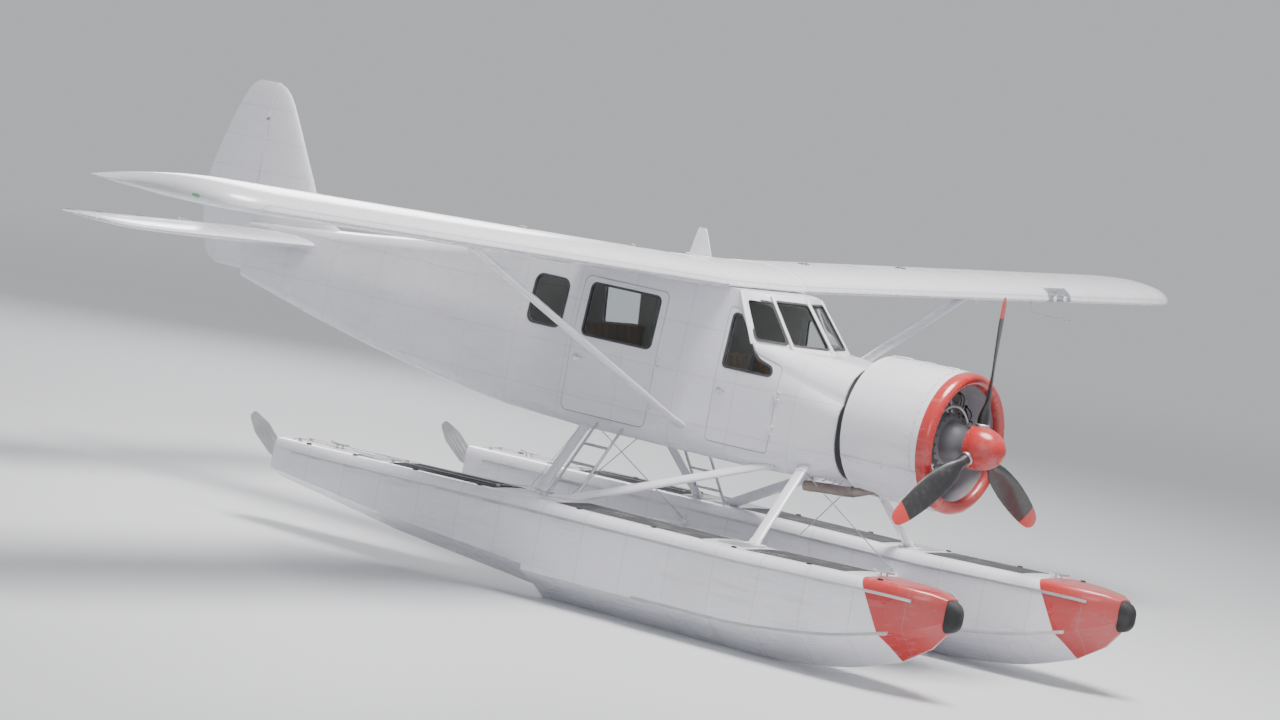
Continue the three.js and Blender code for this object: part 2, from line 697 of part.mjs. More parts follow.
// Inside the cabin.
const FIREWALL_SHEET = 12;
const firewall = loft(
  [FIREWALL - SEAT - FIREWALL_SHEET, FIREWALL - SEAT].map((y) => bodySection({ ...NOSE_SECTIONS[0], y }, 0)),
);
add(pieces, "firewall", firewall, "metal");
const floor = box(-700, 700, -2880, 640, BELLY, FLOOR).intersect(cabinFit);
const CARGO_PANEL = 8;
const cargoPanel = box(-500, 500, -1460, -450, FLOOR - 5, FLOOR + CARGO_PANEL);
add(pieces, "cabin_floor", join(floor, cargoPanel), "grey");
add(pieces, "rear_bulkhead", box(-700, 700, 660, 680, BELLY, ROOF).intersect(cabinFit), "grey");
const panelSheet = box(-700, 700, -2400, -2345, 2060, 2400).intersect(cabinFit);
// A control wheel on a shaft that comes out of the panel.
const [WHEEL_RADIUS, WHEEL_Y, WHEEL_HEIGHT] = [120, -2150, 2180];
const wheelRim = new THREE.TorusGeometry(WHEEL_RADIUS, 12, 6, 18).rotateX(Math.PI / 2);
const controlWheel = (x) => join(
  fromFaces(wheelRim).at(x, WHEEL_Y, WHEEL_HEIGHT),
  rod([x - WHEEL_RADIUS, WHEEL_Y, WHEEL_HEIGHT], [x + WHEEL_RADIUS, WHEEL_Y, WHEEL_HEIGHT], 10, 8),
  rod([x, -2350, WHEEL_HEIGHT], [x, WHEEL_Y + 12, WHEEL_HEIGHT], 16, 8),
);
add(pieces, "instrument_panel", join(panelSheet, controlWheel(-300), controlWheel(300)), "dark");

const SEATS = {
  front_seat: { x: 300, half: 215, front: -1980, rear: -1520, group: leftPieces, suffix: "_left" },
  rear_bench: { x: 0, half: 520, front: -420, rear: 60, group: pieces, suffix: "" },
};
const PAN = 1740;
const CUSHION = 90;
const BACK_TOP = 2330;
for (const [name, { x, half, front, rear, group, suffix }] of Object.entries(SEATS)) {
  const frame = join(
    box(x - half + 60, x + half - 60, front + 80, rear - 40, FLOOR + SEAT, PAN - 10),
    box(x - half, x + half, front, rear + 30, PAN - 20, PAN),
    box(x - half, x + half, rear, rear + 30, PAN - 20, BACK_TOP),
  );
  add(group, name + "_frame" + suffix, frame, "metal");
  const cushion = join(
    box(x - half, x + half, front, rear - SEAT, PAN + SEAT, PAN + CUSHION),
    box(x - half, x + half, rear - CUSHION, rear - SEAT, PAN + SEAT, BACK_TOP + 20),
  );
  add(group, name + "_cushion" + suffix, cushion, "fabric");
}

// Engine: crankcase, a ring of cylinders whose rocker boxes hold the cowl, and the rear case.
const COWL_SIDES = 36;
const COWL_PROFILE = [
  [500, COWL_FRONT + 70], [515, COWL_FRONT + 22], [548, COWL_FRONT], [584, COWL_FRONT + 22],
  [606, COWL_FRONT + 100], [COWL_RADIUS, CYLINDER_ROW], [598, COWL_REAR],
  [598 - COWL_SKIN, COWL_REAR], [COWL_RADIUS - COWL_SKIN, CYLINDER_ROW + 60],
  [COWL_RADIUS - COWL_SKIN, CYLINDER_ROW - 60], [594, COWL_FRONT + 110], [560, COWL_FRONT + 50],
  [500, COWL_FRONT + 70],
];
// The exhaust pipe leaves the rear case through a notch in the cowl and runs back under the nose.
const EXHAUST_RADIUS = 45;
const EXHAUST_LINE = [
  [-150, -3225, 1760], [-200, -3215, 1478], [-205, -3090, 1425], [-210, -2960, 1385], [-215, -2480, 1345],
];
const exhaust = cut(
  bentRod(EXHAUST_LINE, EXHAUST_RADIUS, 16),
  rod([-213, -2680, 1361.7], [-215.1, -2470, 1344.2], EXHAUST_RADIUS - 6, 16),
);
const exhaustNotch = box(-270, -140, -3235, COWL_REAR + 10, 1300, 1600);
add(pieces, "engine_cowl", cut(turned(COWL_PROFILE, COWL_SIDES), exhaustNotch), "white");

const halfStep = Math.PI / COWL_SIDES;
const PAD_HALF = 30;
const padReach =
  ((COWL_RADIUS - COWL_SKIN) * Math.cos(halfStep) - SEAT - PAD_HALF * Math.sin(halfStep)) /
  Math.cos(halfStep);
const CYLINDER_PROFILE = [
  [0, 200], [82, 200], [82, 290], [100, 296], [82, 302], [82, 322], [100, 328], [82, 334],
  [82, 354], [104, 366], [104, 500], [70, 530], [0, 530],
];
const oneCylinder = join(
  fromFaces(
    new THREE.LatheGeometry(CYLINDER_PROFILE.map(([r, h]) => new THREE.Vector2(r, h)), 10),
  ).at(0, 0, 0),
  box(-PAD_HALF, PAD_HALF, 500, padReach, -45, 45),
  ...[-46, 46].map((x) => box(x - 28, x + 28, 490, 552, -50, 55)),
  ...[-46, 46].map((x) => rod([x * 0.7, 205, 165], [x, 520, 50], 12, 6)),
);
// A cylinder, its rocker boxes and its push rods are made upright along Y, then tipped to stand out.
const radialCopies = (made, count, y) =>
  Array.from({ length: count }, (_, k) =>
    solid(
      geometryOf(made)
        .rotateX(Math.PI / 2)
        .rotateY((k * 2 * Math.PI) / count)
        .translate(0, y, THRUST),
    ),
  );
const SHAFT_END = PROPELLER_PLANE + 50;
const ENGINE_REAR = FIREWALL - 2 * SEAT - FIREWALL_SHEET;
const engineCase = turned([
  [0, SHAFT_END + SEAT], [60, SHAFT_END + SEAT], [60, -3900], [110, -3880], [190, -3720], [250, -3650],
  [270, -3350], [300, -3300], [300, -3150], [240, -3100], [240, ENGINE_REAR], [0, ENGINE_REAR],
]);
const cylinders = radialCopies(oneCylinder, CYLINDERS, CYLINDER_ROW);
add(pieces, "engine", join(engineCase, ...cylinders, exhaust), "metal");

// Propeller: hub and blades, with the spinner over the hub.
const SHANK = 50;
const BLADE_SECTIONS = table(["reach", "chord", "thick", "pitch"], [
  [40, 2 * SHANK, 2 * SHANK, 0],
  [250, 2 * SHANK, 2 * SHANK, 0],
  [430, 190, 48, 38],
  [800, 225, 30, 27],
  [1120, 190, 18, 20],
  [1260, 130, 11, 18],
  [PROPELLER_RADIUS, 50, 7, 18],
]);
const BLADE_POINTS = 16;
const blade = loft(
  BLADE_SECTIONS.map(({ reach, chord, thick, pitch }) => {
    const tilt = THREE.MathUtils.degToRad(pitch);
    return Array.from({ length: BLADE_POINTS }, (_, i) => {
      const angle = (i / BLADE_POINTS) * 2 * Math.PI;
      const [w, t] = [(chord / 2) * Math.cos(angle), (thick / 2) * Math.sin(angle)];
      return new THREE.Vector3(
        w * Math.cos(tilt) - t * Math.sin(tilt),
        reach,
        w * Math.sin(tilt) + t * Math.cos(tilt),
      );
    });
  }),
);
const shankHole = rod([0, 130, 0], [0, 330, 0], SHANK + 0.5, BLADE_POINTS);
const hub = turned([
  [0, PROPELLER_PLANE - 70], [95, PROPELLER_PLANE - 70], [95, SHAFT_END - 8],
  [SPINNER_RADIUS - 6 - SEAT, SHAFT_END - 8], [SPINNER_RADIUS - 6 - SEAT, SHAFT_END], [0, SHAFT_END],
]);
add(pieces, "propeller", join(hub, ...radialCopies(blade, BLADES, PROPELLER_PLANE)), "dark");
const spinnerShape = (inset) => [
  [0, SPINNER_TIP + inset * 1.5],
  [60 - inset, SPINNER_TIP + 15 + inset],
  [120 - inset, SPINNER_TIP + 70 + inset],
  [170 - inset, SPINNER_TIP + 170 + inset], [SPINNER_RADIUS - inset, SPINNER_TIP + 260],
  [SPINNER_RADIUS - inset, SHAFT_END + inset * 5], [0, SHAFT_END + inset * 5],
];
const spinner = cut(
  turned(spinnerShape(0)), turned(spinnerShape(6)),
  ...radialCopies(shankHole, BLADES, PROPELLER_PLANE),
);
add(pieces, "spinner", spinner, "red");

// Floats: hull sections with a flat keel strip, chines and a rounded deck edge.
const hullSection = ({ y, keel, chine, half, deck }) => {
  const right = [
    [KEEL_STRIP, keel], [half, chine],
    [half * 0.985, deck - 100], [half * 0.93, deck - 30], [half * 0.76, deck],
  ];
  const left = right.map(([x, z]) => [-x, z]).reverse();
  return [...right, ...left].map(([x, z]) => new THREE.Vector3(FLOAT_CENTRE + x, y, z));
};
const BOW = BOW_END + 110;
const FORE_SECTIONS = table(["y", "keel", "chine", "half", "deck"], [
  [BOW, 560, 660, 95, 850],
  [BOW + 110, 420, 600, 190, 878],
  [BOW + 380, 250, 490, 290, 895],
  [BOW + 880, 95, 370, 365, 890],
  [BOW + 1480, 15, 290, 395, 875],
  [BOW + 1900, 0, 255, 400, 862],
  [STEP, 0, 240, 400, 850],
]);
const AFT_SECTIONS = table(["y", "keel", "chine", "half", "deck"], [
  [STEP - 20, 75, 290, 399, 850],
  [900, 240, 400, 350, 822],
  [STERN, 440, 520, 190, 790],
]);
const RUDDER_BRACKETS = [560, 740];
const BRACKET_SHEET = 12;
const POST_RADIUS = 12;
const bracket = (z) => cut(
  box(FLOAT_CENTRE - 25, FLOAT_CENTRE + 25, STERN - 10, POST + 25, z, z + BRACKET_SHEET),
  roundHole([FLOAT_CENTRE, POST, z - 20], [FLOAT_CENTRE, POST, z + 40], POST_RADIUS),
);
const CLEATS = table(["y", "deck"], [[-4180, 891], [-620, 848], [1700, 803]]);
const cleat = ({ y, deck }) => join(
  ...[-30, 30].map((dy) => rod([FLOAT_CENTRE, y + dy, deck - 10], [FLOAT_CENTRE, y + dy, deck + 42], 9, 8)),
  rod([FLOAT_CENTRE, y - 100, deck + 42], [FLOAT_CENTRE, y + 100, deck + 42], 8, 8),
);
const hull = join(
  loft(FORE_SECTIONS.map(hullSection)),
  loft(AFT_SECTIONS.map(hullSection)),
  ...RUDDER_BRACKETS.map(bracket),
  ...CLEATS.map(cleat),
);
add(leftPieces, "float_left", hull, "white");
const BUMPER_SECTIONS = table(["y", "half", "low", "high"], [
  [BOW - SEAT, 92, 575, 845],
  [BOW - 60, 78, 595, 825],
  [BOW_END, 35, 650, 770],
]);
const bumper = loft(
  BUMPER_SECTIONS.map(({ y, half, low, high }) => {
    const chamfer = half * 0.5;
    const right = [
      [half - chamfer, low], [half, low + chamfer], [half, high - chamfer], [half - chamfer, high],
    ];
    const left = right.map(([x, z]) => [-x, z]).reverse();
    return [...right, ...left].map(([x, z]) => new THREE.Vector3(FLOAT_CENTRE + x, y, z));
  }),
);
add(leftPieces, "bow_bumper_left", bumper, "rubber");

// A water rudder, lifted as it is in flight and on land, on its upright post.
const [LOWER_BRACKET, UPPER_BRACKET] = RUDDER_BRACKETS;
const BLADE_OUTLINE = [
  [2350, 600], [2480, 600], [2700, 760], [2790, 900], [2740, 960], [2560, 880], [2350, 700],
];
const waterRudder = join(
  rod([FLOAT_CENTRE, POST, LOWER_BRACKET - 20], [FLOAT_CENTRE, POST, UPPER_BRACKET + 50], POST_RADIUS),
  rod(
    [FLOAT_CENTRE, POST, LOWER_BRACKET + BRACKET_SHEET + SEAT],
    [FLOAT_CENTRE, POST, UPPER_BRACKET - SEAT], 20,
  ),
  sidePrism(BLADE_OUTLINE, FLOAT_CENTRE - 7, FLOAT_CENTRE + 7),
);
add(leftPieces, "water_rudder_left", waterRudder, "metal");

// Struts, each cut to the skin of what it meets.
const STRUT_STATION = -1350;
const STRUT_OUT = 3900;
const wingSkin = solid(geometryOf(wingWhole).applyMatrix4(wingFrame));
const liftStrut = seated(
  seated(
    bar([612, STRUT_STATION, 1640], [STRUT_OUT, STRUT_STATION + 120, 3060], 135, 50),
    cabinOuter, 1, 0, 0,
  ),
  wingSkin, 0, 0, -1,
);
add(leftPieces, "lift_strut_left", liftStrut, "white");

const FLOAT_STRUTS = {
  front_float_strut_left: { foot: [FLOAT_CENTRE - 170, -2740, 800], head: [470, -2620, 1560] },
  rear_float_strut_left: { foot: [FLOAT_CENTRE - 170, -420, 780], head: [520, -320, 1490] },
  diagonal_float_strut_left: { foot: [FLOAT_CENTRE - 170, -720, 780], head: [500, -2380, 1520] },
};
for (const [name, { foot, head }] of Object.entries(FLOAT_STRUTS)) {
  const strut = seated(seated(bar(foot, head, 110, 45), hull, 0, 0, 1), cabinOuter, 0.7, 0, -0.7);
  add(leftPieces, name, strut, "white");
}
const SPREADERS = { front_spreader_bar: -2740, rear_spreader_bar: -420 };
const rightHull = mirrored(hull);
for (const [name, y] of Object.entries(SPREADERS)) {
  const whole = bar([-FLOAT_CENTRE + 380, y, 620], [FLOAT_CENTRE - 380, y, 620], 120, 50);
  add(pieces, name, seated(seated(whole, hull, -1, 0, 0), rightHull, 1, 0, 0), "white");
}

// Boarding ladder from the float deck to the cabin door sill.
const LADDER_RAILS = [-760, -480];
const LADDER_FOOT = [FLOAT_CENTRE - 240, 800];
const LADDER_HEAD = [640, 1475];
const RUNGS = 3;
const rails = LADDER_RAILS.map((y) =>
  rod([LADDER_FOOT[0], y, LADDER_FOOT[1]], [LADDER_HEAD[0] - 45, y, LADDER_HEAD[1] + 45], 14, 8));
const rungs = Array.from({ length: RUNGS }, (_, i) => {
  const t = (i + 1) / (RUNGS + 1);
  const x = THREE.MathUtils.lerp(LADDER_FOOT[0], LADDER_HEAD[0], t);
  const z = THREE.MathUtils.lerp(LADDER_FOOT[1], LADDER_HEAD[1], t);
  return rod([x, LADDER_RAILS[0], z], [x, LADDER_RAILS[1], z], 12, 8);
});
const ladder = seated(seated(join(...rails, ...rungs), hull, 0, 0, 1), cabinOuter, 1, 0, 0);
add(leftPieces, "ladder_left", ladder, "metal");

// The right side mirrors the left.
const rightPieces = leftPieces.clone();
rightPieces.scale.x = -1;
rightPieces.traverse((piece) => {
  piece.name = piece.name.replace("left", "right");
});
pieces.add(leftPieces, rightPieces);

export default pieces;
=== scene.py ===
# %% [markdown]
# # A bush plane on floats
#
# This notebook dresses a finished solid model of a single-engine, high-wing plane that stands on
# two stepped floats. The solids already give every size, seat and hinge. Here each of them gets
# the surface of the real thing: thin painted skins over ribs, a finned radial engine, clear panes
# in their frames, sewn seats, and the fittings that a pilot would look for.
#
# Everything is in metres, with +Z up. The nose points to -Y and the plane's own left is at +X.

import json
import math
import random
from contextlib import contextmanager

import bmesh
import bpy
from mathutils import Matrix, Vector

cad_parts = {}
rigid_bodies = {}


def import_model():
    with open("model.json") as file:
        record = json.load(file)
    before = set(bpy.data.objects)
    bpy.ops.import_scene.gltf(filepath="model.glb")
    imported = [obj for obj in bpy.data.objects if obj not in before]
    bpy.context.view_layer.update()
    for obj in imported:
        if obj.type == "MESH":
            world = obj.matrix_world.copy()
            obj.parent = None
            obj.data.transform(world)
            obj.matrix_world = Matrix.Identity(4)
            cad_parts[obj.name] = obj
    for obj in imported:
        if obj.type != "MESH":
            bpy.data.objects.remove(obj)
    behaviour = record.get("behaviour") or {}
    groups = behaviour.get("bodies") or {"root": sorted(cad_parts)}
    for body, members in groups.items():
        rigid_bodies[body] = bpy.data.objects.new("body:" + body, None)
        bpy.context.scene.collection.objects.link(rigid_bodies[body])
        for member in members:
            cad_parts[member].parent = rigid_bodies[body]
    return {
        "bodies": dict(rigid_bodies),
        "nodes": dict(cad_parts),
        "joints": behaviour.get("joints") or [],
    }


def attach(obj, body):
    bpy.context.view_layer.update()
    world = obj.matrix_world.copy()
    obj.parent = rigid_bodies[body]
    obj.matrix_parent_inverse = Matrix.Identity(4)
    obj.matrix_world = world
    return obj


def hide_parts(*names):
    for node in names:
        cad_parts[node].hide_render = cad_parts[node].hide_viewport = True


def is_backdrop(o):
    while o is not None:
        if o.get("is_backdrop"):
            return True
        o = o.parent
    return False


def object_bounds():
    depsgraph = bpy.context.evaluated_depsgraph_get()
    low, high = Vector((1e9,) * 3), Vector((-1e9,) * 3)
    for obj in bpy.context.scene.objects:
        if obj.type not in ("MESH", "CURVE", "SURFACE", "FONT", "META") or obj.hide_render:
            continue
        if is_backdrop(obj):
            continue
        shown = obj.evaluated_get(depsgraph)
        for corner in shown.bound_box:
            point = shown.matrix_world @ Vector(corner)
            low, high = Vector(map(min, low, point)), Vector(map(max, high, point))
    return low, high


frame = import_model()
cad_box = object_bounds()
hinges = {joint["name"]: Vector(joint["pos_m"]) for joint in frame["joints"]}

# %% [markdown]
# ## Hands and tools
#
# A modeller works with a small set of moves: select, extrude, bevel, cut, copy. The next cells
# wrap those moves in short helpers, so that the cells after them can be read as a build plan.
# Blender's operators act on whatever is selected, so each helper first lets go of everything else.

# %% Selecting and editing
SAME_POINT = 1e-5


def only(*objects):
    """Selects these objects and nothing else."""
    bpy.ops.object.select_all(action="DESELECT")
    for obj in objects:
        obj.select_set(True)
    bpy.context.view_layer.objects.active = objects[0]


@contextmanager
def editing(obj):
    """Opens one mesh for editing with all of it selected."""
    only(obj)
    bpy.ops.object.mode_set(mode="EDIT")
    bpy.ops.mesh.select_mode(type="VERT")
    bpy.ops.mesh.select_all(action="SELECT")
    yield
    bpy.ops.object.mode_set(mode="OBJECT")


def pick(obj, kind, chosen):
    """While editing, selects the edges or faces that pass a test of their middle and themselves."""
    bpy.ops.mesh.select_mode(type=kind)
    bpy.ops.mesh.select_all(action="DESELECT")
    shape = bmesh.from_edit_mesh(obj.data)
    for item in shape.edges if kind == "EDGE" else shape.faces:
        middle = sum((v.co for v in item.verts), Vector()) / len(item.verts)
        if chosen(middle, item):
            item.select_set(True)
    bmesh.update_edit_mesh(obj.data)


def face_outwards(obj):
    """Merges doubled vertices and turns every face outwards."""
    with editing(obj):
        bpy.ops.mesh.remove_doubles(threshold=SAME_POINT)
        bpy.ops.mesh.select_all(action="SELECT")
        bpy.ops.mesh.normals_make_consistent(inside=False)
    return obj


# %% Modifiers, cuts and copies
def modified(obj, kind, **settings):
    """Adds a modifier and applies it."""
    only(obj)
    modifier = obj.modifiers.new(kind.title(), kind)
    for key, value in settings.items():
        setattr(modifier, key, value)
    bpy.ops.object.modifier_apply(modifier=modifier.name)
    return obj


def combined(obj, operation, *tools):
    """Cuts, joins or intersects one closed mesh with others, which are used up."""
    for tool in tools:
        modified(obj, "BOOLEAN", object=tool, operation=operation, solver="EXACT")
        bpy.data.objects.remove(tool)
    return obj


def cut(obj, *tools):
    return combined(obj, "DIFFERENCE", *tools)


def common(obj, *tools):
    return combined(obj, "INTERSECT", *tools)


def copied(obj):
    """A copy with its own mesh."""
    twin = obj.copy()
    twin.data = obj.data.copy()
    bpy.context.scene.collection.objects.link(twin)
    return twin


def joined(objects):
    """Several loose meshes as one object."""
    objects = list(objects)
    if len(objects) > 1:
        only(*objects)
        bpy.ops.object.join()
    return objects[0]


def placed(obj, matrix):
    """Moves a mesh, and leaves its object at the origin."""
    obj.data.transform(matrix)
    return obj


def moved(obj, x=0, y=0, z=0):
    """Shifts a mesh, and leaves its object at the origin."""
    return placed(obj, Matrix.Translation((x, y, z)))


def mirror_copy(obj):
    """The other side's copy of a piece, mirrored across the plane's middle."""
    return face_outwards(placed(copied(obj), Matrix.Scale(-1, 4, (1, 0, 0))))


def both(obj):
    """A mesh together with its mirror image."""
    return joined([obj, mirror_copy(obj)])


def aimed(obj, start, end):
    """Turns and moves a mesh made along +Z from the origin, so that it runs from start towards end."""
    way = Vector(end) - Vector(start)
    return placed(obj, Matrix.Translation(start) @ way.to_track_quat("Z", "Y").to_matrix().to_4x4())


# %% Angles round a circle
def turns(count, shift=0.0):
    """Evenly spaced angles all the way round."""
    return [2 * math.pi * (k + shift) / count for k in range(count)]


def quarter(steps):
    """Angles from 0 to a right angle."""
    return [math.pi / 2 * k / steps for k in range(steps + 1)]


def softened(value, power):
    """A sine or cosine bent towards 1, which turns a circle into a soft box."""
    return math.copysign(abs(value) ** power, value)


# %% Shapes from a primitive
def skinned(ribs):
    """Pulls a filled circle from one rib to the next, like a skin over formers."""
    bpy.ops.mesh.primitive_circle_add(vertices=len(ribs[0]), fill_type="NGON")
    obj = bpy.context.object
    with editing(obj):
        for _ in ribs[1:]:
            bpy.ops.mesh.extrude_region_move(TRANSFORM_OT_translate={"value": (0, 0, 1)})
    obj.data.vertices.foreach_set("co", [c for rib in ribs for point in rib for c in point])
    return face_outwards(obj)


def spun(profile, steps=48, closed=False):
    """Spins a profile of (radius, height) pairs about the Z axis."""
    bpy.ops.mesh.primitive_circle_add(vertices=len(profile), fill_type="NOTHING")
    obj = bpy.context.object
    obj.data.vertices.foreach_set("co", [c for radius, height in profile for c in (radius, 0, height)])
    with editing(obj):
        if not closed:
            ends = {0, len(profile) - 1}
            pick(obj, "EDGE", lambda _, edge: {v.index for v in edge.verts} == ends)
            bpy.ops.mesh.delete(type="EDGE")
        bpy.ops.mesh.select_all(action="SELECT")
        bpy.ops.mesh.spin(steps=steps, angle=2 * math.pi, center=(0, 0, 0), axis=(0, 0, 1))
    return face_outwards(obj)


def plate(corners, push, radius=0.0):
    """A flat outline with rounded corners, extruded along a vector."""
    bpy.ops.mesh.primitive_circle_add(vertices=len(corners), fill_type="NGON")
    obj = bpy.context.object
    obj.data.vertices.foreach_set("co", [c for corner in corners for c in corner])
    with editing(obj):
        if radius:
            bpy.ops.mesh.bevel(offset=radius, segments=5, affect="VERTICES")
        bpy.ops.mesh.select_all(action="SELECT")
        bpy.ops.mesh.extrude_region_move(TRANSFORM_OT_translate={"value": Vector(push)})
    return face_outwards(obj)


def level_plate(x, y, z, thick, radius=0.0):
    """A level plate with round corners. x and y are each a pair, from low to high."""
    return plate([(x[0], y[0], z), (x[1], y[0], z), (x[1], y[1], z), (x[0], y[1], z)], (0, 0, thick), radius)


def block(low, high, bevel=0.004, segments=2):
    """A box between two corners with its edges rounded."""
    low, high = Vector(low), Vector(high)
    bpy.ops.mesh.primitive_cube_add(size=1)
    obj = bpy.context.object
    with editing(obj):
        bpy.ops.transform.resize(value=high - low)
        bpy.ops.transform.translate(value=(low + high) / 2)
        if bevel:
            bpy.ops.mesh.bevel(offset=bevel, segments=segments, affect="EDGES")
    return obj


def disc(start, end, radius, bevel=0.0, sides=20):
    """A short round bar between two points, with its rims rounded."""
    length = (Vector(end) - Vector(start)).length
    bpy.ops.mesh.primitive_cylinder_add(vertices=sides, radius=radius, depth=length)
    obj = bpy.context.object
    with editing(obj):
        bpy.ops.transform.translate(value=(0, 0, length / 2))
        if bevel:
            pick(obj, "EDGE", lambda _, edge: abs(edge.verts[0].co.z - edge.verts[1].co.z) < SAME_POINT)
            bpy.ops.mesh.bevel(offset=bevel, segments=2, affect="EDGES")
    return aimed(obj, start, end)


def upright_disc(x, y, low, high, radius, bevel=0.0, sides=20):
    """A round bar that stands upright."""
    return disc((x, y, low), (x, y, high), radius, bevel, sides)


def tube(points, radius, bent=False, cyclic=False, sides=8):
    """A round tube along a line of points, made from a curve. Its corners are rounded if it is bent."""
    bpy.ops.curve.primitive_nurbs_path_add()
    obj = bpy.context.object
    obj.data.splines.clear()
    spline = obj.data.splines.new("BEZIER" if bent else "POLY")
    stops = spline.bezier_points if bent else spline.points
    stops.add(len(points) - 1)
    for stop, point in zip(stops, points):
        if bent:
            stop.co = point
            stop.handle_left_type = stop.handle_right_type = "AUTO"
        else:
            stop.co = (*point, 1)
    spline.use_cyclic_u = cyclic
    obj.data.resolution_u = 8
    obj.data.bevel_depth = radius
    obj.data.bevel_resolution = max(0, sides // 2 - 2)
    obj.data.use_fill_caps = not cyclic
    only(obj)
    bpy.ops.object.convert(target="MESH")
    return obj


# %% Finishing a piece
def finished(obj, name, finish, body="airframe", stands_for=(), slot=None, smooth=35):
    """Names a mesh, smooths it, gives it its material and lets it ride on its body."""
    face_outwards(obj)
    only(obj)
    bpy.ops.object.shade_smooth_by_angle(angle=math.radians(smooth))
    obj.name = obj.data.name = name
    obj.data.materials.clear()
    coats = finish if isinstance(finish, tuple) else (finish,)
    for coat in coats:
        obj.data.materials.append(coat)
    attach(obj, body)
    slot or slot_of.get(coats[0].name, "white_paint")
    if stands_for:
        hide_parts(stands_for)
    print(f"{name}: {len(obj.data.polygons)} faces on {body}")
    return obj


def finished_pair(obj, name, finish, body="airframe", stands_for=None, **rest):
    """Finishes a left piece and its mirror image on the right."""
    made = []
    for side, each in (("left", obj), ("right", mirror_copy(obj))):
        standing = f"{stands_for}_{side}" if stands_for else ()
        carrier = body if body in frame["bodies"] else f"{body}_{side}"
        made.append(finished(each, f"{name}_{side}", finish, carrier, standing, **rest))
    return made

# %% [markdown]
# ## Camera, floor and light
#
# The plane was photographed from far off with a long lens, from its own front right and a little
# above its wing line, banked so that its top leans to the right of the picture. The camera here
# looks from that same side with the same lean, and comes close enough to fill the frame.

# %% Camera
CAMERA_AZIMUTH, CAMERA_ELEVATION = math.radians(-54.4), math.radians(4.2)
CAMERA_LEAN = math.radians(10)
LENS, FILL, PICTURE_SHAPE = 135, 0.93, 1280 / 720


def camera_axes():
    """The camera's right, up and backward directions."""
    across = math.cos(CAMERA_ELEVATION)
    back = Vector((math.sin(CAMERA_AZIMUTH) * across, -math.cos(CAMERA_AZIMUTH) * across,
                   math.sin(CAMERA_ELEVATION)))
    right = Vector((0, 0, 1)).cross(back).normalized()
    up = back.cross(right)
    cos, sin = math.cos(CAMERA_LEAN), math.sin(CAMERA_LEAN)
    return right * cos + up * sin, up * cos - right * sin, back


def aim_camera():
    """Places the camera so that the whole plane fits in the picture."""
    axes = camera_axes()
    bpy.ops.object.camera_add()
    camera = bpy.context.object
    camera.data.lens = LENS
    camera.data.clip_end = 500
    points = [v.co for node in frame["nodes"].values() for v in node.data.vertices]
    reaches = [[point.dot(axis) for point in points] for axis in axes]
    middle = sum((axis * (min(reach) + max(reach)) / 2 for axis, reach in zip(axes, reaches)), Vector())
    wide, tall = ((max(reach) - min(reach)) / 2 for reach in reaches[:2])
    half_view = camera.data.sensor_width / 2 / LENS * FILL
    distance = max(wide, tall * PICTURE_SHAPE) / half_view
    turn = Matrix(axes).transposed().to_4x4()
    camera.matrix_world = Matrix.Translation(middle + axes[2] * distance) @ turn
    bpy.context.scene.camera = camera
    print(f"camera {distance:.1f} m away, looking at {middle.x:.2f} {middle.y:.2f} {middle.z:.2f}")


aim_camera()

# %% Node helpers
def plug(tree, sockets, values):
    """Gives sockets their values. A value is another node's output, which is linked, or plain."""
    for key, value in values.items():
        if isinstance(value, bpy.types.NodeSocket):
            tree.links.new(value, sockets[key])
        else:
            sockets[key].default_value = value


def add_node(tree, kind, inputs, **settings):
    """Adds a shader node and plugs its inputs."""
    made = tree.nodes.new("ShaderNode" + kind)
    for key, value in settings.items():
        setattr(made, key, value)
    plug(tree, made.inputs, inputs)
    return made


def calc(tree, operation, first, *others):
    """The result of math nodes, chained where there are more than two values."""
    for other in others:
        first = add_node(tree, "Math", {0: first, 1: other}, operation=operation).outputs[0]
    return first


def plus(tree, *values):
    return calc(tree, "ADD", *values)


def minus(tree, *values):
    return calc(tree, "SUBTRACT", *values)


def times(tree, *values):
    return calc(tree, "MULTIPLY", *values)


def absolute(tree, value):
    return add_node(tree, "Math", {0: value}, operation="ABSOLUTE").outputs[0]


def distance(tree, *gaps):
    """How long a way is whose steps along each axis are given."""
    return calc(tree, "POWER", plus(tree, *[times(tree, gap, gap) for gap in gaps]), 0.5)


def mixed(tree, share, first, second):
    """A colour between two others."""
    return add_node(tree, "Mix", {0: share, 6: first, 7: second}, data_type="RGBA").outputs[2]


def ramp(tree, value, low, high):
    """0 below low, 1 above high, and a soft step between."""
    inputs = {"Value": value, "From Min": low, "From Max": high}
    return add_node(tree, "MapRange", inputs, interpolation_type="SMOOTHSTEP").outputs[0]


def noise(tree, vector, scale, detail):
    """Soft random clouds from 0 to 1."""
    inputs = {"Vector": vector, "Scale": scale, "Detail": detail}
    return add_node(tree, "TexNoise", inputs).outputs["Fac"]


def stretched(tree, vector, scale):
    """Coordinates scaled by another amount along each axis."""
    return add_node(tree, "VectorMath", {0: vector, 1: scale}, operation="MULTIPLY").outputs[0]


def rgb(red, green, blue):
    return (red, green, blue, 1)


# %% Floor and light
BACKDROP = {"Color": rgb(0.62, 0.63, 0.65), "Strength": 0.84}
FLOOR_COLOUR = rgb(0.66, 0.67, 0.69)
FLOOR_RADIUS, FLOOR_FADES = 400, (14, 42)


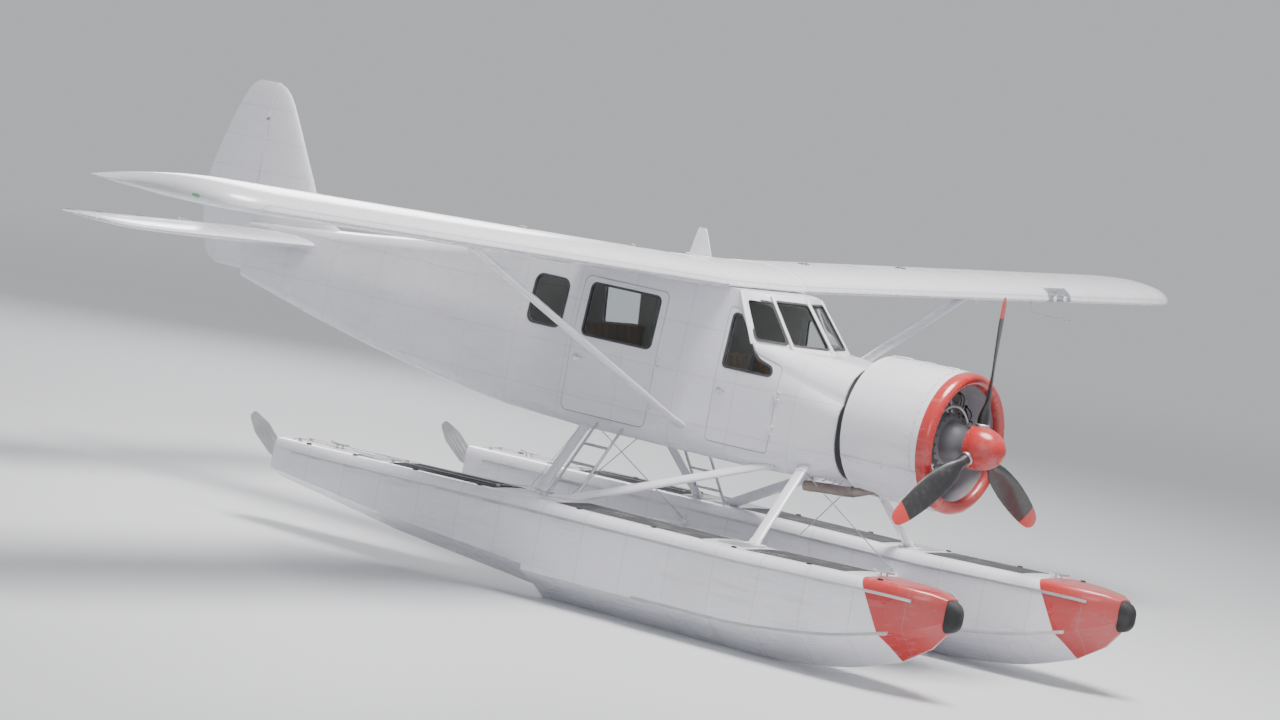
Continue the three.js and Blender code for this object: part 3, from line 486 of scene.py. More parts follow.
def make_floor():
    """A large pale disc that fades into the backdrop's own tone with distance."""
    bpy.ops.mesh.primitive_circle_add(vertices=128, radius=FLOOR_RADIUS, fill_type="NGON")
    floor = bpy.context.object
    material, tree, inputs = new_material("studio_floor")
    floor.name = material.name
    place = add_node(tree, "TexCoord", {}).outputs["Object"]
    out = add_node(tree, "VectorMath", {0: place}, operation="LENGTH").outputs["Value"]
    far = ramp(tree, out, *FLOOR_FADES)
    plug(tree, inputs, {"Base Color": FLOOR_COLOUR, "Roughness": 0.55, "Specular IOR Level": 0.25})
    paint = tree.nodes["Principled BSDF"].outputs[0]
    glow = add_node(tree, "Emission", BACKDROP).outputs[0]
    blend = add_node(tree, "MixShader", {0: far, 1: paint, 2: glow}).outputs[0]
    plug(tree, tree.nodes["Material Output"].inputs, {"Surface": blend})
    floor.data.materials.append(material)
    floor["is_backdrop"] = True


def new_material(name, **values):
    """A new node material, its tree and its shader's sockets."""
    material = bpy.data.materials.new(name)
    material.use_nodes = True
    inputs = material.node_tree.nodes["Principled BSDF"].inputs
    plug(material.node_tree, inputs, {key.replace("_", " "): value for key, value in values.items()})
    return material, material.node_tree, inputs


def make_light(name, place, target, size, power, colour=(1, 1, 1)):
    """A soft round lamp."""
    bpy.ops.object.light_add(type="AREA", location=place)
    lamp = bpy.context.object
    lamp.name = name
    lamp.rotation_euler = (Vector(target) - Vector(place)).to_track_quat("-Z", "Y").to_euler()
    for key, value in {"shape": "DISK", "size": size, "energy": power, "color": colour}.items():
        setattr(lamp.data, key, value)


def light_studio():
    """Soft light from the whole backdrop, one broad lamp above and weaker ones at the sides."""
    world = bpy.data.worlds.new("backdrop")
    world.use_nodes = True
    plug(world.node_tree, world.node_tree.nodes["Background"].inputs, BACKDROP)
    bpy.context.scene.world = world
    make_light("overhead", (-1, -5, 15), (0, -0.5, 1.5), 7, 4500, (1, 0.985, 0.96))
    make_light("front_right", (-16, -10, 7), (0, -1, 1.8), 6, 330, (0.93, 0.96, 1))
    make_light("behind", (12, 13, 9), (0, 0, 2), 8, 1300)


make_floor()
light_studio()

# %% [markdown]
# ## Finishes
#
# A metal plane is hundreds of thin sheets riveted over frames and stringers, then sprayed white.
# From a step away the paint looks even, but the eye reads its seams, its rivet rows, the soft
# waves of the sheet between frames, and the grey film that air, water and exhaust leave behind.
# These effects are shared by many materials, so each is built once as a shader node group that
# puts out masks, and every material places it with its own spacing and strength.

# %% Shared effect: seams and rivets
RIVET_ROW = 0.016
NOWHERE = (0.0, 0.0, 0.0)


def new_group(name, inputs, *outputs):
    """An empty node group with named float or vector inputs, and float outputs."""
    group = bpy.data.node_groups.new(name, "ShaderNodeTree")
    for label, default in inputs.items():
        kind = "NodeSocketVector" if isinstance(default, tuple) else "NodeSocketFloat"
        group.interface.new_socket(label, in_out="INPUT", socket_type=kind).default_value = default
    for label in outputs:
        group.interface.new_socket(label, in_out="OUTPUT", socket_type="NodeSocketFloat")
    return group, group.nodes.new("NodeGroupInput").outputs, group.nodes.new("NodeGroupOutput").inputs


def distance_to_line(tree, place, spacing):
    """How far a place is from the nearest of many evenly spaced lines."""
    return calc(tree, "PINGPONG", place, times(tree, spacing, 0.5))


def make_panel_lines():
    """Seams where sheets meet, in two directions, with a row of rivets beside each."""
    inputs = {"Station": 0.0, "Station Spacing": 0.8, "Stringer": 0.0, "Stringer Spacing": 0.4,
              "Seam Width": 0.0042, "Rivet Pitch": 0.04, "Rivet Radius": 0.0048}
    group, enter, leave = new_group("panel_lines", inputs, "Seams", "Rivets")
    ways = ("Station", "Stringer")
    far = {way: distance_to_line(group, enter[way], enter[way + " Spacing"]) for way in ways}
    nearest = calc(group, "MINIMUM", *far.values())
    dots = []
    for across, along in (ways, ways[::-1]):
        from_next = distance_to_line(group, enter[along], enter["Rivet Pitch"])
        gap = distance(group, minus(group, far[across], RIVET_ROW), from_next)
        dots.append(minus(group, 1.0, ramp(group, gap, 0.001, enter["Rivet Radius"])))
    seams = minus(group, 1.0, ramp(group, nearest, 0.0, enter["Seam Width"]))
    plug(group, leave, {"Seams": seams, "Rivets": calc(group, "MAXIMUM", *dots)})
    return group


def make_weather():
    """Grime: a broad cloudy film, and streaks drawn out along the flight direction."""
    inputs = {"Vector": NOWHERE, "Cloud Scale": 1.2}
    group, enter, leave = new_group("weather", inputs, "Film", "Streaks")
    cloud = noise(group, enter["Vector"], enter["Cloud Scale"], 5.0)
    streak = noise(group, stretched(group, enter["Vector"], (9.0, 0.7, 9.0)), 2.2, 6.0)
    plug(group, leave, {"Film": ramp(group, cloud, 0.38, 0.72), "Streaks": ramp(group, streak, 0.5, 0.78)})
    return group


def make_chips():
    """Small chips and scratches: where grit has gone through the paint."""
    inputs = {"Vector": NOWHERE, "Scale": 40.0, "Amount": 0.3}
    group, enter, leave = new_group("chips", inputs, "Chips")
    spots = noise(group, enter["Vector"], enter["Scale"], 8.0)
    patches = noise(group, enter["Vector"], 3.0, 2.0)
    low = minus(group, 0.42, times(group, enter["Amount"], 0.3))
    inputs = {"Value": times(group, spots, patches), "From Min": low, "From Max": plus(group, low, 0.03)}
    plug(group, leave, {"Chips": add_node(group, "MapRange", inputs).outputs[0]})
    return group


panel_lines, weather, chips = make_panel_lines(), make_weather(), make_chips()
print("groups:", [group.name for group in bpy.data.node_groups])

# %% Reading places on a piece
THRUST_Z = hinges["propeller_spin"].z
ROOFWARD = 0.72


def effect(tree, group, **inputs):
    """Places a shared effect in a material."""
    made = add_node(tree, "Group", {}, node_tree=group)
    plug(tree, made.inputs, {label.replace("_", " "): value for label, value in inputs.items()})
    return made.outputs


def places(tree):
    """The piece's own coordinates: the vector, and x, y, z apart."""
    vector = add_node(tree, "TexCoord", {}).outputs["Object"]
    return vector, *add_node(tree, "SeparateXYZ", {0: vector}).outputs


def along_skin(tree, x, z):
    """A coordinate that runs up the sides and across the top and bottom of a body."""
    normal = add_node(tree, "TexCoord", {}).outputs["Normal"]
    up = absolute(tree, add_node(tree, "SeparateXYZ", {0: normal}).outputs[2])
    return add_node(tree, "Mix", {0: calc(tree, "GREATER_THAN", up, ROOFWARD), 2: z, 3: x}).outputs[0]


def raised(tree, height, strength, depth):
    """A normal that follows a height."""
    return add_node(tree, "Bump", {"Height": height, "Strength": strength, "Distance": depth}).outputs[0]


# %% Colours
# White paint with a faint lilac cast; the cast is painted sky light, the cool tint that a white skin takes
# in shade.
WHITE_WITH_PAINTED_SKY_TINT = rgb(0.80, 0.795, 0.85)
GRIME = rgb(0.30, 0.285, 0.27)
SOOT = rgb(0.05, 0.047, 0.045)
TRIM_RED = rgb(0.50, 0.035, 0.035)
UNDERCOAT = rgb(0.5, 0.5, 0.52)
DUST = rgb(0.16, 0.15, 0.14)
FADED_CLOTH = rgb(0.34, 0.30, 0.26)
NO_SEAMS = (9.0, 9.0)

# %% Paint and metal
# Unless given another colour, a sheet is the white with its painted sky tint.
def sheet_paint(name, colour=WHITE_WITH_PAINTED_SKY_TINT, seams="body", spacing=NO_SEAMS, soil=0.3, trim=None,
                gloss=0.24, soot=None):
    """Gloss paint over riveted sheet.

    seams says which way the frames run: body, wing or upright. trim is a second colour and its
    place. soot is a place too.
    """
    material, tree, inputs = new_material(name, Coat_Weight=0.5, Coat_Roughness=0.12)
    vector, x, y, z = places(tree)
    station = {"body": y, "wing": x, "upright": z}[seams]
    stringer = along_skin(tree, x, z) if seams == "body" else y
    seam, rivet = effect(tree, panel_lines, Station=station, Stringer=stringer,
                         Station_Spacing=spacing[0], Stringer_Spacing=spacing[1])
    film, streaks = effect(tree, weather, Vector=vector)
    base = mixed(tree, trim[1](tree, x, y, z), colour, trim[0]) if trim else colour
    shade = plus(tree, times(tree, seam, 0.30 + soil * 0.4), times(tree, rivet, 0.16),
                 times(tree, film, soil * 0.35), times(tree, streaks, soil * 0.45))
    dressed = mixed(tree, calc(tree, "MINIMUM", shade, 1.0), base, GRIME)
    if soot:
        cloud = ramp(tree, noise(tree, vector, 3.5, 4.0), 0.15, 0.75)
        dressed = mixed(tree, times(tree, soot(tree, x, y, z), cloud), dressed, SOOT)
    wave = times(tree, noise(tree, vector, 2.6, 1.0), 1.6)
    relief = plus(tree, minus(tree, times(tree, rivet, 0.9), times(tree, seam, 1.2)), wave)
    rough = plus(tree, times(tree, film, 0.10), gloss, times(tree, streaks, soil * 0.4))
    normal = raised(tree, relief, 0.45, 0.002)
    plug(tree, inputs, {"Base Color": dressed, "Roughness": rough, "Normal": normal})
    return material


def plain_paint(name, colour, gloss=0.3, wear=0.08, metallic=0.0, grain=0.3, chip=150.0):
    """Paint on a fitting or a casting: a slight grain, and chips that show what is under it."""
    material, tree, inputs = new_material(name, Metallic=metallic)
    vector = places(tree)[0]
    worn = effect(tree, chips, Vector=vector, Scale=chip, Amount=wear)["Chips"]
    film = effect(tree, weather, Vector=vector, Cloud_Scale=5.0)["Film"]
    speckle = times(tree, noise(tree, vector, 160.0, 3.0), grain)
    plug(tree, inputs, {
        "Base Color": mixed(tree, times(tree, film, 0.18), mixed(tree, worn, colour, UNDERCOAT), GRIME),
        "Roughness": plus(tree, times(tree, film, 0.15), gloss),
        "Normal": raised(tree, minus(tree, speckle, worn), 0.35, 0.0006),
    })
    return material


def bare_metal(name, colour, rough=0.32, stain=0.25, heat=None):
    """Metal with a drawn grain and dull stains. heat tints it where it has run hot."""
    material, tree, inputs = new_material(name, Metallic=1.0)
    vector = places(tree)[0]
    grain = noise(tree, stretched(tree, vector, (30.0, 2.0, 30.0)), 6.0, 4.0)
    cloud = effect(tree, weather, Vector=vector, Cloud_Scale=4.0)["Film"]
    tinted = mixed(tree, cloud, colour, heat) if heat else colour
    dull = times(tree, cloud, stain)
    plug(tree, inputs, {
        "Base Color": mixed(tree, dull, tinted, GRIME),
        "Roughness": plus(tree, rough, dull, times(tree, grain, 0.12)),
        "Normal": raised(tree, grain, 0.25, 0.0005),
    })
    return material


# %% Rubber, grit, glass and cloth
def soft_rubber(name, colour):
    material, tree, inputs = new_material(name, Roughness=0.72)
    vector = places(tree)[0]
    dusty = effect(tree, weather, Vector=vector, Cloud_Scale=6.0)["Film"]
    pores = noise(tree, vector, 220.0, 3.0)
    plug(tree, inputs, {"Base Color": mixed(tree, times(tree, dusty, 0.25), colour, DUST),
                        "Normal": raised(tree, pores, 0.3, 0.0006)})
    return material


def grit_strip(name, colour, scuff, bare):
    """Walkway paint with sand in it."""
    material, tree, inputs = new_material(name, Roughness=0.9)
    vector = places(tree)[0]
    sand = add_node(tree, "TexVoronoi", {"Vector": vector, "Scale": 260.0}).outputs["Distance"]
    worn = effect(tree, chips, Vector=vector, Scale=70.0, Amount=0.14)["Chips"]
    scuffed = mixed(tree, ramp(tree, noise(tree, vector, 5.0, 5.0), 0.45, 0.75), colour, scuff)
    colour = mixed(tree, worn, scuffed, bare)
    plug(tree, inputs, {"Base Color": colour, "Normal": raised(tree, sand, 0.7, 0.0015)})
    return material


def clear_pane(name, colour):
    """Acrylic sheet: clear, with fine crazing that only shows in its gloss."""
    material, tree, inputs = new_material(name, Base_Color=colour, Transmission_Weight=1.0, IOR=1.2)
    smear = noise(tree, places(tree)[0], 9.0, 5.0)
    plug(tree, inputs, {"Roughness": plus(tree, times(tree, smear, 0.03), 0.015)})
    return material


def seat_cloth(name, colour, dark):
    """Woven seat cover: a crossed weave with a little sheen and faded patches."""
    material, tree, inputs = new_material(name, Roughness=0.9, Sheen_Weight=0.35)
    vector = places(tree)[0]
    yarn = {"Vector": vector, "Scale": 160.0, "Distortion": 1.2, "Detail": 1.0}
    across, along, up = (add_node(tree, "TexWave", yarn, bands_direction=way).outputs["Fac"]
                         for way in "XYZ")
    weave = times(tree, calc(tree, "MAXIMUM", across, along), plus(tree, up, 0.4))
    faded = times(tree, effect(tree, weather, Vector=vector, Cloud_Scale=3.0)["Film"], 0.3)
    plug(tree, inputs, {"Base Color": mixed(tree, faded, mixed(tree, weave, dark, colour), FADED_CLOTH),
                        "Normal": raised(tree, weave, 0.5, 0.0012)})
    return material


def ribbed_lens(name, colour):
    """A small coloured lamp lens."""
    material, tree, inputs = new_material(name, Roughness=0.12, Coat_Weight=1.0)
    ridges = {"Vector": places(tree)[0], "Scale": 60.0}
    ribs = add_node(tree, "TexWave", ridges, bands_direction="Z").outputs["Fac"]
    plug(tree, inputs, {"Base Color": mixed(tree, times(tree, ribs, 0.3), colour, rgb(1, 1, 1)),
                        "Normal": raised(tree, ribs, 0.3, 0.001)})
    return material


# %% Where trim and soot lie
PIPE_X = -0.20
BOW_LINE, BOW_RAKE = -4.66, -0.55
TIP_STARTS, LIP_ENDS = 1.115, -3.760


def exhaust_soot(tree, x, y, z):
    """Soot on the belly behind the exhaust pipe, fading towards the tail."""
    aside = absolute(tree, minus(tree, x, PIPE_X))
    return times(tree, ramp(tree, aside, 0.26, 0.06), ramp(tree, z, 1.56, 1.45),
                 ramp(tree, y, -2.55, -2.35), ramp(tree, y, 0.2, -1.9), 0.75)


def bow_mask(tree, x, y, z):
    """1 on the bow ahead of a raked line, 0 behind it."""
    return ramp(tree, plus(tree, y, times(tree, z, BOW_RAKE)), BOW_LINE, BOW_LINE - 0.005)


def tip_mask(tree, x, y, z):
    """1 near the ends of the propeller blades, 0 nearer the hub."""
    return ramp(tree, distance(tree, x, minus(tree, z, THRUST_Z)), TIP_STARTS, TIP_STARTS + 0.005)


def lip_mask(tree, x, y, z):
    """1 on the front edge of the cowl, 0 behind it."""
    return ramp(tree, y, LIP_ENDS, LIP_ENDS - 0.004)


# %% The plane's own finishes
fuselage_paint = sheet_paint("fuselage_paint", spacing=(0.62, 0.42), soot=exhaust_soot)
wing_paint = sheet_paint("wing_paint", seams="wing", spacing=(0.62, 0.53), soil=0.22)
tail_paint = sheet_paint("tail_paint", seams="wing", spacing=(0.31, 0.6), soil=0.22)
fin_paint = sheet_paint("fin_paint", seams="upright", spacing=(0.3, 0.62), soil=0.22)
strut_paint = sheet_paint("strut_paint", soil=0.10)
cowl_paint = sheet_paint("cowl_paint", soil=0.35, trim=(TRIM_RED, lip_mask))
blade_paint = sheet_paint("blade_paint", rgb(0.016, 0.016, 0.018), soil=0.25,
                          trim=(rgb(0.62, 0.04, 0.03), tip_mask), gloss=0.4)
float_paint = sheet_paint("float_paint", spacing=(0.46, 0.9), soil=0.45, trim=(TRIM_RED, bow_mask))
# Fittings take the same white with its painted sky tint.
fitting_white = plain_paint("fitting_white", WHITE_WITH_PAINTED_SKY_TINT, wear=0.06)
red_trim = plain_paint("red_trim", TRIM_RED, gloss=0.22, wear=0.06, chip=230.0)
black_satin = plain_paint("black_satin", rgb(0.018, 0.018, 0.02), gloss=0.42, wear=0.0)
cabin_grey = plain_paint("cabin_grey", rgb(0.33, 0.335, 0.35), gloss=0.55)
cabin_lining = plain_paint("cabin_lining", rgb(0.62, 0.61, 0.585), gloss=0.8, wear=0.0, grain=1.0)
case_paint = plain_paint("case_paint", rgb(0.19, 0.20, 0.22), gloss=0.38, wear=0.12)
cast_metal = plain_paint("cast_metal", rgb(0.60, 0.605, 0.62), gloss=0.42, wear=0.1, metallic=0.35,
                         grain=1.2)
dial_black = plain_paint("dial_black", rgb(0.006, 0.006, 0.007), gloss=0.2, wear=0.0)
dial_white = plain_paint("dial_white", rgb(0.75, 0.75, 0.72), gloss=0.5, wear=0.0)
worn_metal = bare_metal("worn_metal", rgb(0.62, 0.63, 0.65))
bright_metal = bare_metal("bright_metal", rgb(0.78, 0.79, 0.81), rough=0.16, stain=0.1)
dark_metal = bare_metal("dark_metal", rgb(0.10, 0.10, 0.11), rough=0.45, stain=0.3)
burnt_steel = bare_metal("burnt_steel", rgb(0.40, 0.33, 0.28), rough=0.4, stain=0.35,
                         heat=rgb(0.25, 0.22, 0.27))
rubber = soft_rubber("rubber", rgb(0.022, 0.022, 0.024))
seal_rubber = soft_rubber("seal_rubber", rgb(0.05, 0.05, 0.055))
walkway_grit = grit_strip("walkway_grit", rgb(0.045, 0.046, 0.05), rgb(0.09, 0.09, 0.094),
                          rgb(0.26, 0.26, 0.27))
window_pane = clear_pane("window_pane", rgb(0.93, 0.965, 0.97))
lamp_glass = clear_pane("lamp_glass", rgb(0.55, 0.58, 0.6))
lens_red = ribbed_lens("lens_red", rgb(0.55, 0.01, 0.008))
lens_green = ribbed_lens("lens_green", rgb(0.01, 0.32, 0.10))
lens_white = ribbed_lens("lens_white", rgb(0.85, 0.86, 0.84))
seat_weave = seat_cloth("seat_weave", rgb(0.34, 0.225, 0.15), rgb(0.15, 0.095, 0.065))
print("materials:", len(bpy.data.materials))

# %% Which slot of the record each finish belongs to
SLOTS = {
    "clear_glass": (window_pane, lamp_glass, lens_red, lens_green, lens_white),
    "rubber": (rubber, seal_rubber),
    "bare_aluminium": (worn_metal, bright_metal),
    "black_paint": (black_satin, blade_paint, walkway_grit, dial_black),
    "red_paint": (red_trim,),
    "engine_metal": (case_paint, cast_metal, dark_metal, burnt_steel),
    "cabin_grey": (cabin_grey,),
    "seat_fabric": (seat_weave,),
}
slot_of = {finish.name: slot for slot, finishes in SLOTS.items() for finish in finishes}
print("finishes with a slot of their own:", len(slot_of))

# %% [markdown]
# ## Fuselage
#
# The cabin is a light-metal box with upright sides to shoulder height, leaning in a little above
# that, and round along its lower corners. A loft from a few formers gives that skin: a ring is
# pulled from one station to the next, and the stations between are found by a smooth curve. The
# same form, drawn a wall's thickness smaller, hollows it out, and doors and windows are cut last.

# %% Stations of the fuselage
# Each row is y, half width, bottom, shoulder height, half width at the top, top, lower and upper radius.
CABIN_ROWS = [
    (-2.90, 0.545, 1.470, 2.06, 0.490, 2.450, 0.400, 0.330),
    (-2.44, 0.600, 1.430, 2.15, 0.560, 2.480, 0.220, 0.230),
    (-1.98, 0.630, 1.420, 2.20, 0.602, 2.480, 0.150, 0.060),
    (-1.695, 0.630, 1.420, 2.20, 0.602, 2.480, 0.150, 0.030),
]
ROOF_ROWS = [
    (-1.69, 0.630, 1.420, 2.20, 0.560, 2.905, 0.150, 0.030),
    (-0.20, 0.630, 1.420, 2.20, 0.560, 2.905, 0.150, 0.045),
    (0.70, 0.580, 1.450, 2.20, 0.500, 2.880, 0.150, 0.090),
]
TAIL_ROWS = [
    (0.7003, *ROOF_ROWS[-1][1:]),
    (1.90, 0.420, 1.570, 2.20, 0.330, 2.740, 0.130, 0.130),
    (3.10, 0.250, 1.750, 2.20, 0.185, 2.610, 0.100, 0.100),
    (4.33, 0.070, 1.990, 2.26, 0.060, 2.520, 0.050, 0.045),
]
NOSE_ENDS = CABIN_ROWS[2][0]
WALL = 0.035
CORNER_STEPS = 8
SHOULDER_SOFTNESS = 0.10


def curve_between(before, start, end, after, share):
    """A value between two stations that also bends smoothly into the stations around them."""
    slope_in, slope_out = (end - before) / 2, (after - start) / 2
    a = 2 * (start - end) + slope_in + slope_out
    b = 3 * (end - start) - 2 * slope_in - slope_out
    return ((a * share + b) * share + slope_in) * share + start


def straight_rows(rows, step=0.12):
    """Adds rows between those of a table, about a step apart, on straight lines."""
    made = []
    for start, end in zip(rows, rows[1:]):
        count = max(1, round(abs(end[0] - start[0]) / step))
        made += [tuple(s + (e - s) * k / count for s, e in zip(start, end)) for k in range(count)]
    return [*made, rows[-1]]


def smooth_rows(rows, step=0.12):
    """Adds rows between those of a table, about a step apart, on smooth curves."""
    first = tuple(2 * s - e for s, e in zip(*rows[:2]))
    last = tuple(2 * e - s for s, e in zip(*rows[-2:]))
    around = [first, *rows, last]
    made = []
    for before, start, end, after in zip(around, around[1:], around[2:], around[3:]):
        count = max(1, round(abs(end[0] - start[0]) / step))
        for k in range(count):
            values = [curve_between(*four, k / count) for four in zip(before, start, end, after)]
            made.append((start[0] + (end[0] - start[0]) * k / count, *values[1:]))
    return [*made, rows[-1]]


def body_rib(row, inset=0.0, crown=0.0):
    """One former's outline, as points from the bottom up the left side, over the top and down."""
    y, half, low, shoulder, top, high, low_radius, high_radius = row
    half, top, low, high = half - inset, top - inset, low + inset, high - inset
    r, q = max(low_radius - inset, 0.01), max(high_radius - inset, 0.004)
    side = [((half - r) * k / 3, low) for k in (1, 2)]
    side += [(half - r + r * math.sin(a), low + r - r * math.cos(a)) for a in quarter(CORNER_STEPS)]
    sill, bend, eaves = Vector((half, low + r)), Vector((half, shoulder)), Vector((top, high - q))
    soft = min(SHOULDER_SOFTNESS, 0.92 * (eaves - bend).length)
    below, above = bend - Vector((0, soft)), bend + (eaves - bend).normalized() * soft
    side += [tuple(sill.lerp(below, k / 3)) for k in (1, 2, 3)]
    side += [tuple(below.lerp(bend, t).lerp(bend.lerp(above, t), t)) for t in (0.2, 0.4, 0.6, 0.8, 1.0)]
    side += [tuple(above.lerp(eaves, k / 4)) for k in (1, 2, 3)]
    side += [(top - q + q * math.cos(a), high - q + q * math.sin(a)) for a in quarter(CORNER_STEPS)]
    side += [((top - q) * k / 4, high + crown * (1 - (k / 4) ** 2)) for k in (3, 2, 1)]
    ring = [(0, low), *side, (0, high + crown), *[(-x, z) for x, z in reversed(side)]]
    return [(x, y, z) for x, z in ring]


# %% The windshield house
HOUSE_BASE, ROOF = 2.40, 2.905
# Each corner is x and y at the base, then at the roof, and how far it moves for each metre of inset.
HOUSE_CORNERS = [
    ((0.0, -2.47), (0.0, -2.01), (0.0, 1.35)),
    ((0.44, -2.33), (0.38, -1.90), (0.9, 1.3)),
    ((0.609, -1.98), (0.56, -1.705), (1.02, 0.7)),
    ((0.609, -1.60), (0.56, -1.60), (1.02, 0.0)),
]
SHY = 0.0006


def house_corner(index, height, inset=0.0):
    """A corner of the windshield house at one height, moved inwards for its inner wall."""
    base, roof, pull = HOUSE_CORNERS[index]
    share = (height - HOUSE_BASE) / (ROOF - HOUSE_BASE)
    x, y = (b + (r - b) * share for b, r in zip(base, roof))
    return Vector((x - inset * pull[0], y + inset * pull[1], height))


def house_form(inset):
    """The five-sided glass house that rises from the deck to the roof."""
    shy = SHY + inset
    rings = []
    for height in (HOUSE_BASE, ROOF - shy):
        half = [house_corner(i, height, shy) for i in range(4)]
        rings.append([*half, *[Vector((-p.x, p.y, p.z)) for p in reversed(half[1:])]])
    return skinned(rings)


def cabin_form(inset, open_ends=0.0):
    """Nose, house and cabin as one closed form, open_ends longer at each end."""
    nose = smooth_rows([*CABIN_ROWS[:3], (NOSE_ENDS + 0.46, *CABIN_ROWS[2][1:])])
    rows = [row for row in nose if row[0] < NOSE_ENDS - 0.001] + straight_rows([*CABIN_ROWS[2:], *ROOF_ROWS])
    rows[0] = (rows[0][0] - open_ends, *rows[0][1:])
    rows[-1] = (rows[-1][0] + open_ends, *rows[-1][1:])
    return combined(skinned([body_rib(row, inset) for row in rows]), "UNION", house_form(inset))


def cabin_layer(outer, inner):
    """A thin shell of the cabin's form between two depths under its skin."""
    return cut(cabin_form(outer), cabin_form(inner, open_ends=0.05))


wall = cabin_layer(0.0, WALL)
print("cabin wall:", len(wall.data.polygons), "faces")

# %% Doors and windows, drawn on the side
DOORS = {
    "front_door": ([(-2.29, 1.57), (-1.64, 1.57), (-1.64, 2.75), (-1.745, 2.75), (-2.01, 2.40),
                    (-2.29, 2.33)], 0.04),
    "cabin_door": ([(-0.99, 1.54), (-0.05, 1.54), (-0.05, 2.75), (-0.99, 2.75)], 0.07),
}
WINDOWS = {
    "front_door": ([(-2.19, 2.235), (-1.70, 2.235), (-1.70, 2.69), (-1.775, 2.69), (-2.03, 2.35),
                    (-2.19, 2.30)], 0.030),
    "cabin_door": ([(-0.90, 2.235), (-0.15, 2.235), (-0.15, 2.685), (-0.90, 2.685)], 0.045),
    "rear": ([(0.12, 2.24), (0.50, 2.24), (0.50, 2.66), (0.12, 2.66)], 0.070),
}
PANES = {"windshield": (0, 0.06, 0.95, 2.52, 2.85), "quarter": (1, 0.10, 0.86, 2.52, 2.83)}
PANE_CORNER, PANE_DEPTH = 0.03, 0.06
DOOR_GAP = 0.006
CUTTER_X = (0.38, 0.76)


def grown(outline, margin):
    """Moves every edge of an outline outwards, or inwards if the margin is below 0."""
    made = []
    for before, point, after in zip(outline[-1:] + outline[:-1], outline, outline[1:] + outline[:1]):
        runs = [Vector(end) - Vector(start) for start, end in ((before, point), (point, after))]
        ways = [Vector((run.y, -run.x)).normalized() for run in runs]
        push = (ways[0] + ways[1]) * (margin / (1 + ways[0].dot(ways[1])))
        made.append((point[0] + push.x, point[1] + push.y))
    return made


def side_cutter(outline, radius, margin=0.0):
    """A side outline pushed through the left wall, its round corners and all grown by a margin."""
    x, reach = CUTTER_X
    return plate([(x, y, z) for y, z in grown(outline, margin)], (reach - x, 0, 0), radius + margin)


def pane_corners(corner, start, end, low, high, inset=0.0):
    """The four corners of a pane in one face of the windshield house."""
    def at(share, height):
        return house_corner(corner, height, inset).lerp(house_corner(corner + 1, height, inset), share)
    return [at(start, low), at(end, low), at(end, high), at(start, high)]


def pane_normal(corners):
    return (corners[1] - corners[0]).cross(corners[3] - corners[0]).normalized()


def pane_cutter(pane):
    """A prism through one pane's opening."""
    corners = pane_corners(*pane)
    through = pane_normal(corners) * PANE_DEPTH
    return plate([corner - through for corner in corners], through * 2, PANE_CORNER)


# %% Cabin shell and doors
LINING_DEPTH, SHELL_X, LEAN = 0.018, 0.63, 0.0993


def skin_depth(point):
    """How deep a point lies under the cabin's side skin, roughly."""
    lean = max(0.0, point.z - 2.20) * LEAN + max(0.0, NOSE_ENDS - point.y) * 0.093
    return SHELL_X - lean - abs(point.x)


def lined(obj):
    """Gives the faces that look into the cabin the lining's material."""
    for face in obj.data.polygons:
        out = Vector((face.center.x, 0, face.center.z - 2.1))
        if face.normal.dot(out) < -0.02 and skin_depth(face.center) > LINING_DEPTH:
            face.material_index = 1


openings = [side_cutter(*opening) for opening in (*DOORS.values(), WINDOWS["rear"])]
openings += [pane_cutter(pane) for pane in PANES.values()]
shell = cut(copied(wall), joined(both(opening) for opening in openings))
lined(finished(shell, "cabin_skin", (fuselage_paint, cabin_lining), stands_for="cabin_shell", smooth=36))
for name, door in DOORS.items():
    panel = cut(common(copied(wall), side_cutter(*door, -DOOR_GAP)), side_cutter(*WINDOWS[name]))
    for each in finished_pair(panel, name + "_panel", (fuselage_paint, cabin_lining), name, name, smooth=30):
        lined(each)
bpy.data.objects.remove(wall)

# %% [markdown]
# ## Glass
#
# The side panes follow the skin, so they are cut from a thin layer just under it. The windshield
# is flat sheet, so its panes are simply outlines given a thickness. Each pane sits in a rubber
# channel, and the windshield's posts are capped with narrow riveted strips.

# %% Panes and their channels
GLASS_FROM, GLASS_TO = 0.012, 0.018
CHANNEL_WIDTH, CHANNEL_LIP, CHANNEL_LIFT, CHANNEL_DEPTH = 0.017, 0.004, 0.003, 0.024


def pane_channel(corners, width=0.016, lip=0.004, lift=0.004, sink=0.022):
    """A rubber strip round a flat pane: an outline, less the same outline drawn narrower."""
    middle = sum(corners, Vector()) / 4
    normal = (corners[1] - corners[0]).cross(corners[2] - corners[1]).normalized()
    down = (corners[0].lerp(corners[1], 0.5) - middle).normalized()
    side = normal.cross(down)
    drawn = [((p - middle).dot(down), (p - middle).dot(side)) for p in corners]

    def at(margin, height):
        return [middle + down * u + side * v + normal * height for u, v in grown(drawn, margin)]

    outer = plate(at(width, -sink), normal * (sink + lift), PANE_CORNER + width)
    return cut(outer, plate(at(-lip, -sink - 0.01), normal * (sink + lift + 0.02), PANE_CORNER - lip))


